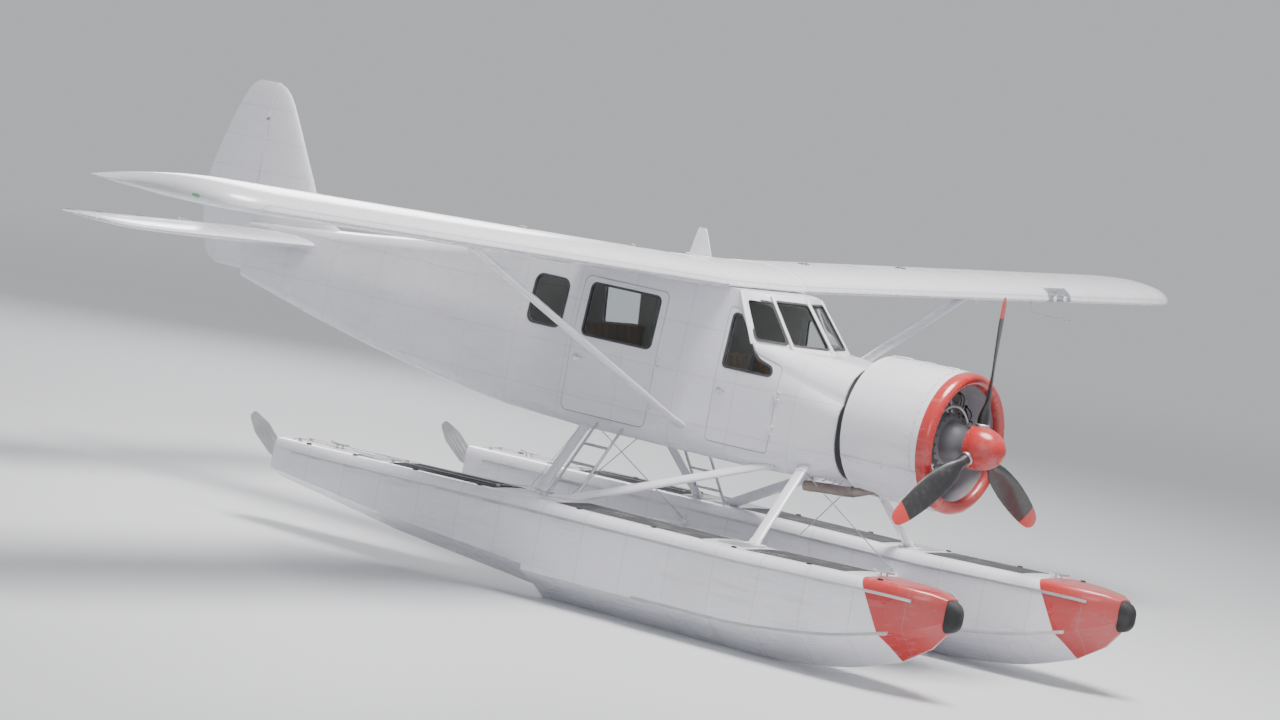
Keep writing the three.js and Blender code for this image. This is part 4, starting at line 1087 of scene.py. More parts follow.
glass_layer = cabin_layer(GLASS_FROM, GLASS_TO)
channel_layer = cabin_layer(-CHANNEL_LIFT, CHANNEL_DEPTH)
for name, window in WINDOWS.items():
    node, body = (name + "_glass", name) if name in DOORS else ("rear_glass", "airframe")
    pane = common(copied(glass_layer), side_cutter(grown(window[0], -0.0005), window[1]))
    finished_pair(pane, node.replace("glass", "pane"), window_pane, body, node)
    strip = common(copied(channel_layer), side_cutter(*window, CHANNEL_WIDTH))
    cut(strip, side_cutter(*window, -CHANNEL_LIP))
    if name in DOORS:
        common(strip, side_cutter(*DOORS[name], -DOOR_GAP - 0.001))
    finished_pair(strip, node.replace("glass", "channel"), seal_rubber, body)
for name, pane in PANES.items():
    corners = pane_corners(*pane, inset=GLASS_TO)
    sheet = plate(corners, pane_normal(corners) * (GLASS_TO - GLASS_FROM), PANE_CORNER)
    node = {"windshield": "windshield", "quarter": "quarter_glass"}[name]
    finished_pair(sheet, name + "_pane", window_pane, stands_for=node)
    finished_pair(pane_channel(pane_corners(*pane)), name + "_channel", seal_rubber)
for layer in (glass_layer, channel_layer):
    bpy.data.objects.remove(layer)

# %% Windshield posts
CAP_LIFT, POST_TOP = 0.003, ROOF - 0.01


def post_cap(corner, foot, width):
    """A folded metal strip along a windshield post."""
    start, end = (house_corner(corner, height, -CAP_LIFT) for height in (foot, POST_TOP))
    return aimed(block((-width / 2, -0.005, 0), (width / 2, 0.005, (end - start).length), 0.003), start, end)


posts = [post_cap(0, 2.475, 0.045), *[both(post_cap(corner, 2.47, 0.034)) for corner in (1, 2)]]
finished(joined(posts), "windshield_posts", fitting_white)

# %% [markdown]
# ## Tail cone
#
# Behind the cabin the fuselage tapers in nearly straight lines to the sternpost. Its formers are
# the cabin's last one made smaller step by step, so the same rib function draws them all. The top
# is crowned a little, as rolled sheet is.

# %% Tail cone
RUDDER_HINGE_Y = hinges["rudder_hinge"].y
ELEVATOR_Y, ELEVATOR_Z = hinges["elevator_hinge"].yz
CROWN = 0.012
rows = smooth_rows(TAIL_ROWS, 0.15)
tail = skinned([body_rib(row, crown=CROWN * min(1.0, i / 4)) for i, row in enumerate(rows)])
rudder_well = upright_disc(0, RUDDER_HINGE_Y, 1.9, 2.7, 0.042, sides=32)
elevator_slot = level_plate((-0.4, 0.4), (ELEVATOR_Y - 0.024, 4.6), 2.405, 0.05)
finished(cut(tail, rudder_well, elevator_slot), "tail_cone_skin", fuselage_paint, stands_for="tail_cone",
         smooth=30)

# %% [markdown]
# ## Wings
#
# A wing is ribs of one profile, threaded on spars and covered with sheet. The loft runs through
# ribs of the real profile, which is nearly flat below and well rounded in front, and the last few
# ribs shrink quickly to round off the tip. Flap and aileron are cut out of the same loft by a
# long D-shaped tool, so that their noses are round and fit the hollow that a second, larger tool
# leaves in the wing.

# %% Wing profile
WING_FRONT, WING_CHORD, WING_HEIGHT, WING_ROOT, PROFILE = -1.60, 1.59, 2.93, 0.56, 0.14
UPPER, LOWER = 1.5, 0.5
DIHEDRAL = math.radians(2)
HALF_SPAN = 7.315
# Each row is x, front, chord and thickness as a share of the chord.
TIP_ROWS = [
    (6.25, WING_FRONT, WING_CHORD, PROFILE),
    (6.42, -1.575, 1.545, 0.138),
    (6.58, -1.51, 1.45, 0.13),
    (6.66, -1.44, 1.33, 0.115),
    (6.71, -1.34, 1.16, 0.095),
    (6.74, -1.23, 0.96, 0.065),
    (HALF_SPAN - WING_ROOT, -1.10, 0.72, 0.03),
]


def half_thickness(share, thickness):
    """Half the thickness of the profile at a share of its chord."""
    curve = -0.126 * share - 0.3516 * share ** 2 + 0.2843 * share ** 3 - 0.1036 * share ** 4
    return 5 * thickness * (0.2969 * math.sqrt(share) + curve)


def wing_rib(x, front, chord, thickness, upper=UPPER, lower=LOWER, steps=20, edge=0.002):
    """One rib's outline: back along the top from the nose, then forward underneath."""
    shares = [(1 - math.cos(math.pi * k / steps)) / 2 for k in range(steps + 1)]

    def at(share, side):
        return (x, front + share * chord, side * half_thickness(share, thickness) * chord
                + math.copysign(share * edge, side))

    return [*[at(share, upper) for share in shares], *[at(share, -lower) for share in reversed(shares[1:])]]


def hinge_cutter(y, z, radius, start, end, depth=1.2, height=0.4):
    """A D-shaped bar along X: round in front, and open far behind the hinge line."""
    tool = block((start, y - radius, z - radius), (end, y, z + radius), 0)
    with editing(tool):
        pick(tool, "EDGE", lambda m, e: m.y < y - radius * 0.9 and abs(m.x - (start + end) / 2) < 1e-4)
        bpy.ops.mesh.bevel(offset=radius * 0.999, segments=10, affect="EDGES")
        pick(tool, "FACE", lambda m, f: m.y > y - 1e-4)
        bpy.ops.mesh.extrude_region_move(TRANSFORM_OT_translate={"value": (0, 0.001, 0)})
        bpy.ops.transform.resize(value=(1, 1, height / radius), center_override=(0, y, z))
        bpy.ops.mesh.extrude_region_move(TRANSFORM_OT_translate={"value": (0, depth, 0)})
    return face_outwards(tool)


wing_frame = Matrix.Translation((WING_ROOT, 0, WING_HEIGHT)) @ Matrix.Rotation(-DIHEDRAL, 4, "Y")
HINGE_Y, HINGE_Z = WING_FRONT + 0.72 * WING_CHORD, 0.032
NOSE_RADIUS, COVE_RADIUS, FLAP_LIP = 0.060, 0.070, 0.058
BAYS = {"flap": (0.78 - WING_ROOT, 3.90 - WING_ROOT), "aileron": (3.93 - WING_ROOT, 6.86 - WING_ROOT)}
END_GAP = 0.006

# %% Wing panel, flap and aileron
inner_rows = straight_rows([(0.007, *TIP_ROWS[0][1:]), TIP_ROWS[0]], 0.39)
whole_wing = skinned([wing_rib(*row) for row in [*inner_rows, *TIP_ROWS[1:]]])
panel = copied(whole_wing)
for name, (start, end) in BAYS.items():
    cut(panel, hinge_cutter(HINGE_Y, HINGE_Z, COVE_RADIUS, start, end))
    surface = hinge_cutter(HINGE_Y, HINGE_Z, NOSE_RADIUS, start + END_GAP, end - END_GAP)
    common(surface, copied(whole_wing))
    finished_pair(placed(surface, wing_frame), name + "_skin", wing_paint, name, name)
flap_start, flap_end = BAYS["flap"]
cut(panel, block((flap_start, HINGE_Y - FLAP_LIP, -0.4), (flap_end, HINGE_Y, HINGE_Z - NOSE_RADIUS / 2), 0))
finished_pair(placed(panel, wing_frame), "wing_skin", wing_paint, stands_for="wing")
bpy.data.objects.remove(whole_wing)

# %% Middle section and root fairings
centre = skinned([wing_rib(x, WING_FRONT, WING_CHORD, PROFILE)
                  for x in (-WING_ROOT, -0.28, 0, 0.28, WING_ROOT)])
finished(moved(centre, z=WING_HEIGHT), "wing_centre_skin", wing_paint, stands_for="wing_centre")


def root_fairing():
    """The thin fillet that closes the joint between wing panel and middle section."""
    ribs = []
    for out, swell in ((-0.03, 0.001), (-0.02, 0.004), (0.03, 0.004), (0.04, 0.001)):
        rise = max(0, out) * math.tan(DIHEDRAL) + WING_HEIGHT
        rib = wing_rib(WING_ROOT + out, WING_FRONT, WING_CHORD, PROFILE)
        ribs.append([(x, y - swell if y < WING_FRONT + 0.05 else y,
                      z + math.copysign(swell, z - 0.01) + rise) for x, y, z in rib])
    return skinned(ribs)


finished_pair(root_fairing(), "wing_root_strip", wing_paint)

# %% [markdown]
# ## Tail surfaces
#
# Stabilizer, elevator, fin and rudder are small wings with the same profile above and below. The
# fin is lofted lying down and then turned upright, which lets one set of tools cut all of them.

# %% Tools for the tail
REACH = 2.6
TAB_GAP = 0.004


def flat_ribs(rows, flip=1):
    """Ribs of a surface that is the same above and below."""
    return [wing_rib(flip * x, front, rear - front, thickness, 1, 1, 16)
            for x, front, rear, thickness in rows]


def split_at_hinge(whole, y, z, cove, nose, start, end):
    """Cuts a surface at its hinge line, and gives its fixed and its moving part."""
    fixed = cut(copied(whole), hinge_cutter(y, z, cove, start, end))
    return fixed, common(hinge_cutter(y, z, nose, start, end), whole)


def bracket_slots(places, y, z):
    """Blocks that clear a moving surface's nose for its hinge brackets."""
    return [block((x - 0.015, y - 0.17, z - 0.06), (x + 0.015, y + 0.025, z + 0.06), 0) for x in places]


def brackets(places, y, z):
    """The hinge brackets of a fixed surface, each an arm with its pin."""
    made = []
    for x in places:
        made.append(block((x - 0.009, y - 0.07, z - 0.012), (x + 0.009, y + 0.012, z + 0.012), 0.003))
        made.append(disc((x - 0.013, y, z), (x + 0.013, y, z), 0.008))
    return made


def tab_gaps(start, end, line, rear, z=0.0):
    """Three narrow cuts that set a trim tab free of the surface round it."""
    half = TAB_GAP / 2
    spans = [(at - half, at + half, rear) for at in (start, end)] + [(start - half, end + half, line)]
    return [block((low, line - TAB_GAP, z - 0.1), (high, back, z + 0.1), 0) for low, high, back in spans]


def tab_hinges(start, end, line, z=0.0):
    """Three knuckles that carry a trim tab."""
    places = [start + (end - start) * share for share in (0.12, 0.5, 0.88)]
    return [block((x - 0.016, line - 0.012, z - 0.008), (x + 0.016, line + 0.008, z + 0.008), 0.003)
            for x in places]


# %% Stabilizer and elevator
# Each row is x, front, rear and thickness as a share of the chord.
STABILIZER_ROWS = [
    (0.0, 3.40, 4.65, 0.09), (0.75, 3.44, 4.645, 0.0875), (1.5, 3.48, 4.64, 0.085), (2.0, 3.53, 4.62, 0.08),
    (2.25, 3.58, 4.60, 0.075), (2.38, 3.65, 4.56, 0.067), (2.45, 3.73, 4.51, 0.055), (2.5, 3.85, 4.42, 0.03),
]
ELEVATOR_NOSE, ELEVATOR_COVE = 0.046, 0.056
ELEVATOR_TAB, ELEVATOR_TAB_LINE = (0.62, 1.12), 4.505
BRACKET_X = (-1.5, 1.5)
NOTCH = [(-0.135, 3.9), (0.135, 3.9), (0.135, 4.14), (0.38, 4.9), (-0.38, 4.9), (-0.135, 4.14)]
whole_tail = skinned([*reversed(flat_ribs(STABILIZER_ROWS[1:], -1)), *flat_ribs(STABILIZER_ROWS)])
stabilizer, elevator = split_at_hinge(moved(whole_tail, z=ELEVATOR_Z), ELEVATOR_Y, ELEVATOR_Z,
                                      ELEVATOR_COVE, ELEVATOR_NOSE, -REACH, REACH)
cut(elevator, plate([(x, y, 2.1) for x, y in NOTCH], (0, 0, 0.7)))
cut(elevator, *bracket_slots(BRACKET_X, ELEVATOR_Y, ELEVATOR_Z))
HORN = [(4.495, 2.44), (4.525, 2.44), (4.515, 2.475), (4.503, 2.475)]
tab_parts = [disc((-0.2, ELEVATOR_Y, ELEVATOR_Z), (0.2, ELEVATOR_Y, ELEVATOR_Z), 0.021)]
for side in (1, -1):
    tab = sorted(side * x for x in ELEVATOR_TAB)
    cut(elevator, *tab_gaps(*tab, ELEVATOR_TAB_LINE, 4.9, ELEVATOR_Z))
    tab_parts += tab_hinges(*tab, ELEVATOR_TAB_LINE, ELEVATOR_Z)
    tab_parts.append(plate([(side * 0.86, y, z) for y, z in HORN], (0.004, 0, 0), 0.004))
    tab_parts.append(tube([(side * 0.863, 4.508, 2.470), (side * 0.863, 4.30, 2.458)], 0.003))
finished(joined([elevator, *tab_parts]), "elevator_skin", tail_paint, "elevator", "elevator")
stabilizer = joined([stabilizer, *brackets(BRACKET_X, ELEVATOR_Y, ELEVATOR_Z)])
finished(stabilizer, "stabilizer_skin", tail_paint, stands_for="stabilizer")

# %% Fin and rudder
# The rows are the same as the stabilizer's, with the height in the place of x.
FIN_ROWS = [
    (2.06, 4.24, 4.62, 0.09), (2.066, 4.22, 4.69, 0.10), (2.08, 4.20, 4.76, 0.10), (2.11, 4.18, 4.815, 0.10),
    (2.16, 4.16, 4.86, 0.10), (2.22, 4.14, 4.89, 0.10), (2.35, 3.9, 4.93, 0.07),
    (2.50, 3.00, 4.965, 0.05), (2.56, 3.16, 4.98, 0.054), (2.64, 3.33, 4.99, 0.06),
    (2.76, 3.50, 4.985, 0.065),
    (2.90, 3.62, 4.97, 0.07), (3.20, 3.79, 4.88, 0.08), (3.50, 3.96, 4.77, 0.09), (3.66, 4.055, 4.70, 0.09),
    (3.75, 4.12, 4.65, 0.088), (3.81, 4.185, 4.60, 0.075), (3.85, 4.28, 4.52, 0.05),
]
RUDDER_NOSE, RUDDER_COVE = 0.034, 0.044
RUDDER_TAB = (2.62, 3.02, 4.845)
BRACKET_HEIGHTS = (2.8, 3.5)
FIN_FOOT = 2.525
upright = Matrix.Rotation(-math.pi / 2, 4, "Y")
fin, rudder = split_at_hinge(skinned(flat_ribs(FIN_ROWS)), RUDDER_HINGE_Y, 0, RUDDER_COVE, RUDDER_NOSE,
                             1.9, 4.0)
cut(fin, block((1.9, 2.9, -0.3), (FIN_FOOT, 5.0, 0.3), 0))
cut(rudder, *bracket_slots(BRACKET_HEIGHTS, RUDDER_HINGE_Y, 0), *tab_gaps(*RUDDER_TAB, 5.1))
rudder = placed(joined([rudder, *tab_hinges(*RUDDER_TAB)]), upright)
finished(rudder, "rudder_skin", fin_paint, "rudder", "rudder")
fin = placed(joined([fin, *brackets(BRACKET_HEIGHTS, RUDDER_HINGE_Y, 0)]), upright)
finished(fin, "fin_skin", fin_paint, stands_for="fin")

# %% [markdown]
# ## Floats
#
# A float is a boat: a sharp bow that rises, a V bottom with a step under the middle of its
# length, and a stern that lifts out of the water. Ahead of the step and behind it the bottom is
# lofted on its own. Strips of formed sheet cover the chines, and the deck carries what a pilot
# needs to walk, moor and pump. Its fittings are made on the middle line and then moved out.

# %% Float stations
FLOAT_X, STEP_Y, STERN_Y, POST_Y = 1.40, -0.80, 2.30, 2.345
# Each row is y, keel, chine height, half width and deck height.
FORE_ROWS = [
    (-4.88, 0.560, 0.660, 0.095, 0.850), (-4.77, 0.420, 0.600, 0.190, 0.878),
    (-4.50, 0.250, 0.490, 0.290, 0.895), (-4.00, 0.095, 0.370, 0.365, 0.890),
    (-3.40, 0.015, 0.290, 0.395, 0.875), (-2.98, 0.0, 0.255, 0.400, 0.862),
    (STEP_Y, 0.0, 0.240, 0.400, 0.850),
]
AFT_ROWS = [(STEP_Y - 0.02, 0.075, 0.290, 0.399, 0.850), (0.90, 0.240, 0.400, 0.350, 0.822),
            (STERN_Y, 0.440, 0.520, 0.190, 0.790)]
KEEL_HALF, DECK_EDGE, DECK_CROWN = 0.015, 0.10, 0.006
STERN_LUGS = (0.560, 0.740)


def float_rib(y, keel, chine, half, deck):
    """One section of a float: keel strip, hollowed bottom, side, rounded deck edge."""
    right = [(KEEL_HALF + (half - KEEL_HALF) * t, keel + (chine - keel) * t * (1.22 - 0.22 * t))
             for t in (0, 0.25, 0.5, 0.75, 1)]
    right += [(half * (1 - 0.015 * t), chine + (deck - DECK_EDGE - chine) * t) for t in (0.25, 0.5, 0.75, 1)]
    right += [(half * (0.76 + 0.225 * math.cos(a)), deck - DECK_EDGE + DECK_EDGE * math.sin(a))
              for a in (0.35, 0.7, 1.05, 1.3, math.pi / 2)]
    right.append((half * 0.38, deck + DECK_CROWN))
    return [(x, y, z) for x, z in [*right, (0, deck + 0.008), *[(-x, z) for x, z in reversed(right)]]]


def float_deck(y):
    """Half width and height of the deck at one station."""
    rows = [*fore_rows, *aft_rows[1:]]
    for start, end in zip(rows, rows[1:]):
        if start[0] <= y <= end[0]:
            t = (y - start[0]) / (end[0] - start[0])
            half, deck = (s + (e - s) * t for s, e in zip(start[3:], end[3:]))
            return half, deck + DECK_CROWN
    return rows[-1][3:]


def float_pair(pieces, name, finish, body="airframe", stands_for=None, **rest):
    """Joins pieces made about the middle line, and sets them on both floats."""
    return finished_pair(moved(joined(pieces), x=FLOAT_X), name, finish, body, stands_for, **rest)


fore_rows = smooth_rows(FORE_ROWS, 0.11)
aft_rows = straight_rows(AFT_ROWS, 0.25)
fore, aft = (skinned([[(FLOAT_X + x, y, z) for x, y, z in float_rib(*row)] for row in rows])
             for rows in (fore_rows, aft_rows))
lugs = [level_plate((FLOAT_X - 0.025, FLOAT_X + 0.025), (STERN_Y - 0.01, POST_Y + 0.025), z, 0.012, 0.008)
        for z in STERN_LUGS]
hull = joined([combined(fore, "UNION", aft), *lugs])
finished_pair(hull, "float_hull", float_paint, stands_for="float", smooth=28)

# %% Spray rails, rub rails and keel strip
SPRAY_SECTION = [(-0.012, -0.004), (0.018, -0.012), (0.018, -0.004), (0.0072, 0.010), (-0.004, 0.022)]
RUB_SECTION = [(-0.004, -0.013), (0.007, -0.011), (0.009, 0), (0.007, 0.011), (-0.006, 0.013)]
KEEL_SECTION = [(-0.017, 0.0002), (0.017, 0.0002), (0.021, 0.014), (-0.021, 0.014)]


def strip(line, section):
    """A strip along a line of points, its section given as steps sideways and up."""
    return skinned([[(x + dx, y, z + dz) for dx, dz in section] for x, y, z in line])


spray_line = [(half, y, chine) for y, keel, chine, half, deck in fore_rows if -4.55 < y < -1.9]
rub_line = [(half * 0.985, y, deck - DECK_EDGE) for y, keel, chine, half, deck in [*fore_rows, *aft_rows]
            if -4.75 < y < 2.2]
keel_line = [(0, y, keel) for y, keel, chine, half, deck in fore_rows if y > -4.6]
rails = [both(strip(spray_line, SPRAY_SECTION)), both(strip(rub_line, RUB_SECTION))]
float_pair(rails, "float_rails", worn_metal)
float_pair([strip(keel_line, KEEL_SECTION)], "float_keel_strip", worn_metal)

# %% Bow bumpers
# Each row is y, half width, bottom and top.
BUMPER_ROWS = [(-4.8803, 0.092, 0.575, 0.845), (-4.905, 0.090, 0.579, 0.841), (-4.94, 0.079, 0.594, 0.826),
               (-4.97, 0.058, 0.622, 0.798), (-4.985, 0.040, 0.645, 0.775), (-4.99, 0.028, 0.660, 0.760)]


def soft_box(y, half, low, high, power):
    """A ring like a box with very round corners."""
    middle, tall = (low + high) / 2, (high - low) / 2
    return [(half * softened(math.cos(a), power), y, middle + tall * softened(math.sin(a), power))
            for a in turns(28)]


bumper = skinned([soft_box(*row, 0.6) for row in BUMPER_ROWS])
float_pair([bumper], "bow_bumper_skin", rubber, stands_for="bow_bumper", smooth=60)

# %% Deck fittings
WALKWAYS = ((-3.95, -2.95), (-2.50, -0.95), (-0.25, 0.95))
PUMPS = (-4.30, -3.62, -2.86, -2.02, -1.22, -0.12, 0.62, 1.34, 1.92)
CLEATS, HATCHES = (-4.18, -0.62, 1.70), (-2.74, 1.22)


def deck_panel(start, end, share=0.62, lift=0.003):
    """A sheet that lies on the deck between two stations."""
    ribs = []
    for k in range(9):
        y = start + (end - start) * k / 8
        half, deck = float_deck(y)
        reach, top = half * share, deck + lift
        ribs.append([(-reach, y, deck - 0.012), (reach, y, deck - 0.012), (reach, y, top - 0.004),
                     (0, y, top), (-reach, y, top - 0.004)])
    return skinned(ribs)


def pump_cup(y):
    half, deck = float_deck(y)
    return upright_disc(half * 0.70, y, deck - 0.02, deck + 0.006, 0.024, 0.003)


def cleat(y):
    """A mooring cleat: two feet and a horn."""
    deck = float_deck(y)[1]
    feet = [upright_disc(0, y + dy, deck - 0.005, deck + 0.035, 0.009) for dy in (-0.03, 0.03)]
    base = block((-0.022, y - 0.06, deck - 0.004), (0.022, y + 0.06, deck + 0.005), 0.002)
    horn = [(0, y + dy, deck + up)
            for dy, up in ((-0.105, 0.045), (-0.05, 0.037), (0.05, 0.037), (0.105, 0.045))]
    return [*feet, base, tube(horn, 0.008, bent=True)]


def hatch(y):
    """A locker hatch in the deck with two quarter-turn latches."""
    deck = float_deck(y)[1]
    lid = level_plate((-0.17, 0.17), (y - 0.14, y + 0.14), deck - 0.01, 0.019, 0.03)
    return [lid, *[upright_disc(x, y, deck, deck + 0.014, 0.014, 0.002) for x in (-0.12, 0.12)]]


float_pair([deck_panel(*ends) for ends in WALKWAYS], "float_walkway", walkway_grit)
float_pair([pump_cup(y) for y in PUMPS], "float_pump_cups", rubber)
fittings = [piece for y in CLEATS for piece in cleat(y)] + [piece for y in HATCHES for piece in hatch(y)]
float_pair(fittings, "float_deck_fittings", worn_metal)

# %% Water rudders
BLADE_OUTLINE = [(2.350, 0.600), (2.480, 0.600), (2.700, 0.760), (2.790, 0.900), (2.740, 0.960),
                 (2.560, 0.880), (2.350, 0.700)]
low_lug, high_lug = STERN_LUGS
parts = [plate([(-0.004, y, z) for y, z in BLADE_OUTLINE], (0.008, 0, 0), 0.03),
         upright_disc(0, POST_Y, low_lug - 0.02, high_lug + 0.05, 0.0115),
         upright_disc(0, POST_Y, low_lug + 0.013, high_lug - 0.001, 0.019, 0.002),
         block((-0.07, POST_Y - 0.013, high_lug + 0.022), (0.07, POST_Y + 0.013, high_lug + 0.030), 0.003)]
for dy, dz in ((0, 0.02), (0.02, -0.005), (-0.02, 0.06)):
    stiffener = block((-0.0065, -0.008, 0), (0.0065, 0.008, 0.30), 0.003)
    parts.append(aimed(stiffener, (0, 2.42 + dy, 0.62 + dz), (0, 2.70 + dy, 0.86 + dz)))
float_pair(parts, "water_rudder_blade", worn_metal, "water_rudder", "water_rudder")

# %% [markdown]
# ## Struts
#
# All struts are extruded streamline tube with a forged fitting at each end. Their ends are sunk a
# little into what they hold, as a cuff hides the joint on the real plane.

# %% Streamline tubes
def streamline(chord, depth):
    """A strut's section: round in front, drawn out behind, as points (across, along)."""
    return [(0.56 * depth * math.sin(a) * (0.79 - 0.21 * math.cos(a)), chord / 2 * math.cos(a))
            for a in turns(20)]


def strut(start, end, chord, depth):
    """A streamline tube between two points with its chord in line with the flight."""
    start, end = Vector(start), Vector(end)
    way = (end - start).normalized()
    along = (Vector((0, 1, 0)) - way * way.y).normalized()
    across = way.cross(along)
    return skinned([[start.lerp(end, t) + across * u + along * v for u, v in streamline(chord, depth)]
                    for t in (0, 0.02, 0.06, 0.5, 0.94, 0.98, 1)])


def cuff(start, end, at, length, chord, depth):
    """A fitting clasped round a strut, at a distance from its start."""
    way = (Vector(end) - Vector(start)).normalized()
    low = Vector(start) + way * at
    return strut(low, low + way * length, chord, depth)


LIFT_FOOT, LIFT_HEAD = (0.622, -1.35, 1.644), (3.90, -1.23, 3.045)
lift = strut(LIFT_FOOT, LIFT_HEAD, 0.130, 0.048)
finished_pair(lift, "lift_strut_tube", strut_paint, stands_for="lift_strut", smooth=60)
cuffs = [cuff(LIFT_FOOT, LIFT_HEAD, at, length, 0.145, 0.060)
         for at, length in ((-0.02, 0.16), (3.40, 0.15))]
finished_pair(joined(cuffs), "lift_strut_cuffs", fitting_white, smooth=60)

# %% Float carriers
STRUT_X, STRUT_CHORD, STRUT_DEPTH = FLOAT_X - 0.17, 0.106, 0.043
FLOAT_STRUTS = {
    "front_float_strut": ((STRUT_X, -2.74, 0.862), (0.49, -2.6236, 1.545)),
    "rear_float_strut": ((STRUT_X, -0.42, 0.838), (0.545, -0.3264, 1.475)),
    "diagonal_float_strut": ((STRUT_X, -0.72, 0.838), (0.52, -2.3368, 1.500)),
}
BAR_END, BAR_Z = FLOAT_X - 0.395, 0.62
feet = []
for name, (foot, head) in FLOAT_STRUTS.items():
    leg = strut(foot, head, STRUT_CHORD, STRUT_DEPTH)
    finished_pair(leg, name + "_tube", strut_paint, stands_for=name, smooth=60)
    reach = (Vector(head) - Vector(foot)).length
    feet += [cuff(foot, head, at, length, STRUT_CHORD + 0.012, STRUT_DEPTH + 0.012)
             for at, length in ((0.0, 0.07), (reach - 0.09, 0.09))]
    y, deck = foot[1], float_deck(foot[1])[1]
    feet.append(block((FLOAT_X - 0.25, y - 0.09, deck - 0.012), (FLOAT_X - 0.10, y + 0.09, deck + 0.010)))
finished_pair(joined(feet), "float_strut_fittings", fitting_white)

for name, y in (("front_spreader_bar", -2.74), ("rear_spreader_bar", -0.42)):
    ends = (-BAR_END, y, BAR_Z), (BAR_END, y, BAR_Z)
    finished(strut(*ends, 0.116, 0.048), name + "_tube", strut_paint, stands_for=name, smooth=60)
    sockets = [cuff(*ends, at, 0.05, 0.140, 0.064) for at in (0.0, 2 * BAR_END - 0.05)]
    finished(joined(sockets), name + "_sockets", fitting_white, smooth=60)


def brace_wire(start, end):
    """A wire with a barrel at each end."""
    start, end = Vector(start), Vector(end)
    barrel = (end - start).normalized() * 0.10
    return [tube([start, end], 0.0045, sides=6), disc(start, start + barrel, 0.009),
            disc(end - barrel, end, 0.009)]


wires = []
for y_low, y_high in ((-2.74, -2.62), (-0.42, -0.32)):
    for fold in (1, -1):
        wires += brace_wire((fold * (FLOAT_X - 0.39), y_low, 0.66), (-fold * 0.44, y_high, 1.47))
finished(joined(wires), "float_brace_wires", worn_metal)

# %% Ladder
RAIL_Y = (-0.76, -0.48)
LADDER_FOOT, LADDER_HEAD = Vector((FLOAT_X - 0.24, 0, 0.80)), Vector((0.64, 0, 1.475))
pieces = []
for y in RAIL_Y:
    pieces.append(tube([(1.152, y, 0.846), (0.617, y, 1.493)], 0.013, sides=14))
    pieces.append(disc((1.155, y, 0.842), (1.135, y, 0.866), 0.021, 0.002))
for k in (1, 2, 3):
    x, _, z = LADDER_FOOT.lerp(LADDER_HEAD, k / 4)
    pieces.append(tube([(x, y, z) for y in RAIL_Y], 0.011, sides=12))
    pieces.append(block((x - 0.02, RAIL_Y[0] + 0.03, z + 0.008),
                        (x + 0.02, RAIL_Y[1] - 0.03, z + 0.013), 0.002))
finished_pair(joined(pieces), "ladder_tubes", worn_metal, stands_for="ladder")

# %% [markdown]
# ## Engine and cowl
#
# The radial engine shows through the cowl's mouth, so it gets its real parts: a crankcase with a
# nose, nine finned cylinders, rocker boxes, push rods, an ignition ring with leads, and sheet
# baffles between the cylinders. One cylinder is modelled pointing up along Z and then copied round.

# %% Places round the shaft
COWL_FRONT, COWL_REAR, CYLINDER_Y, CYLINDERS = -3.89, -2.99, -3.50, 9
COWL_RADIUS, COWL_SKIN = 0.612, 0.006


def round_shaft(turn, radius, y):
    """A place round the propeller shaft, its angle measured from the top."""
    return Vector((radius * math.sin(turn), y, THRUST_Z + radius * math.cos(turn)))


def turned(obj, turn):
    """Lifts a form made about the Y axis up to the shaft, and turns it."""
    return placed(obj, Matrix.Translation((0, 0, THRUST_Z)) @ Matrix.Rotation(turn, 4, "Y"))


def about_shaft(profile, steps=48, closed=False):
    """A form spun about the shaft from pairs of radius and y."""
    lay = Matrix(((1, 0, 0), (0, 0, 1), (0, -1, 0))).to_4x4()
    return placed(spun(profile, steps, closed), Matrix.Translation((0, 0, THRUST_Z)) @ lay)


def ring_copies(obj, count=CYLINDERS):
    """Copies of a form made about the Y axis, set round the shaft."""
    made = [turned(copied(obj), turn) for turn in turns(count)]
    bpy.data.objects.remove(obj)
    return joined(made)


# %% Cowl
lip = [(0.556 + 0.056 * math.cos(a), COWL_FRONT + 0.075 + 0.075 * math.sin(a))
       for a in (math.pi * (1 + k / 14) for k in range(15))]
skin = [(0.604, COWL_FRONT + 0.13), (0.609, COWL_FRONT + 0.22), (COWL_RADIUS, CYLINDER_Y), (0.611, -3.30),
        (0.606, -3.10), (0.598, COWL_REAR)]
back = [(radius - COWL_SKIN, y) for radius, y in reversed(skin)]
rolled = [(0.602, COWL_FRONT + 0.10), (0.560, COWL_FRONT + 0.055), (0.514, COWL_FRONT + 0.085)]
cowl = cut(about_shaft([*lip, *skin, *back, *rolled], 96, closed=True),
           level_plate((-0.27, -0.14), (-3.235, -2.96), 1.30, 0.30, 0.04))
finished(cowl, "cowl_skin", cowl_paint, stands_for="engine_cowl", smooth=30)


def cowl_ring(y, width, radius, lift):
    """A strap or seam strip round the cowl."""
    low, top, half = radius - 0.002, radius + lift, width / 2
    return about_shaft([(low, y - half), (top, y - half + 0.002), (top, y + half - 0.002), (low, y + half)],
                       96, closed=True)


